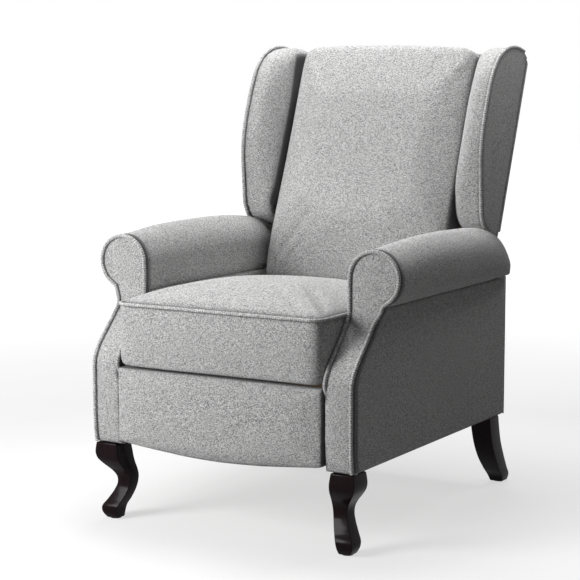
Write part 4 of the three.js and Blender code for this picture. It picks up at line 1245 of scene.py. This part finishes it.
FLOOR_REACH = 14
SOFT_LIGHT = 0.05
LAMPS = [
    ("key", (-0.95, -1.75, 1.0), (0, -0.1, 0.5), 0.8, 36),
    ("overhead", (-0.25, 0.3, 2.4), (0, -0.1, 0.4), 1.1, 44),
    ("edge", (0.75, 0.35, 1.5), (0.35, 0.1, 0.7), 0.4, 2.2),
]
CAMERA_PLACE = (2.0544, -3.1659 - MIDDLE_DEPTH, 1.0422)
CAMERA_DOWN, CAMERA_ROUND = math.radians(7.60), math.radians(30.66)
CAMERA_LENS, CAMERA_SENSOR, CAMERA_REACH = 111.9, 36, 60


def make_floor():
    """A pale floor that shows white to the camera and keeps the chair's shadow."""
    mesh = bpy.data.meshes.new("floor")
    far = FLOOR_REACH
    mesh.from_pydata([(-far, -far, 0), (far, -far, 0), (far, far, 0), (-far, far, 0)], [],
                     [(0, 1, 2, 3)])
    floor = placed("floor", mesh)
    plain = Finish("floor", Roughness=0.9, Specular_IOR_Level=0.0)
    plain.colour(plain.blend(plain.between(plain.mottle(3), 0.3, 0.7), grey(0.34), grey(0.36)))
    x, y, _ = plain.axes()
    away = plain.between((x * x + y * y) ** 0.5, 1.2, 3.3)
    glow = plain.node("ShaderNodeEmission", {},
                      {"Color": WHITE, "Strength": plain.seen() * (away * 0.42 + 0.63)})
    lit = Signal(plain, plain.shader.outputs[0])
    both = plain.node("ShaderNodeAddShader", {}, {0: lit, 1: glow})
    plain.feed(plain.output.inputs["Surface"], both)
    mesh.materials.append(plain.material)


def make_world():
    """A white background over a faint even light."""
    world = bpy.data.worlds.new("studio")
    bpy.context.scene.world = world
    world.use_nodes = True
    world.node_tree.nodes.clear()
    tree = Tree(world.node_tree)
    soft, bright = (tree.node("ShaderNodeBackground", {}, {"Color": WHITE, "Strength": strength})
                    for strength in (SOFT_LIGHT, 1))
    sky = tree.node("ShaderNodeMixShader", {}, {0: tree.seen(), 1: soft, 2: bright})
    tree.node("ShaderNodeOutputWorld", {}, {"Surface": sky})


def add_lamp(name, place, aim, size, power):
    light = bpy.data.lights.new(name, "AREA")
    light.shape, light.size, light.size_y, light.energy = "RECTANGLE", size, size, power
    lamp = placed(name, light)
    lamp.location = place
    lamp.rotation_mode = "QUATERNION"
    lamp.rotation_quaternion = (Vector(aim) - Vector(place)).to_track_quat("-Z", "Y")
    lamp.visible_camera = False


def make_camera():
    camera = bpy.data.cameras.new("camera")
    camera.sensor_width, camera.lens, camera.clip_end = CAMERA_SENSOR, CAMERA_LENS, CAMERA_REACH
    held = placed("camera", camera)
    held.location = CAMERA_PLACE
    held.rotation_euler = (math.pi / 2 - CAMERA_DOWN, 0, CAMERA_ROUND)
    bpy.context.scene.camera = held


def make_studio():
    make_camera()
    make_world()
    make_floor()
    for lamp in LAMPS:
        add_lamp(*lamp)
    bpy.context.scene.view_settings.view_transform = "Standard"


make_studio()
finish_cad_nodes()
for side, sign in SIDES.items():
    make_front_panel(side, sign)
    make_roll(side, sign)
    make_arm_sides(side, sign)
    make_arm_piping(side, sign)
    make_wing(side, sign)
make_legs()
make_outer_back()
make_lower_back()
make_seat_cushion()
make_seat_welt()
make_back_cushion()
make_footrest()
make_rear_edges()
make_closing_flap()
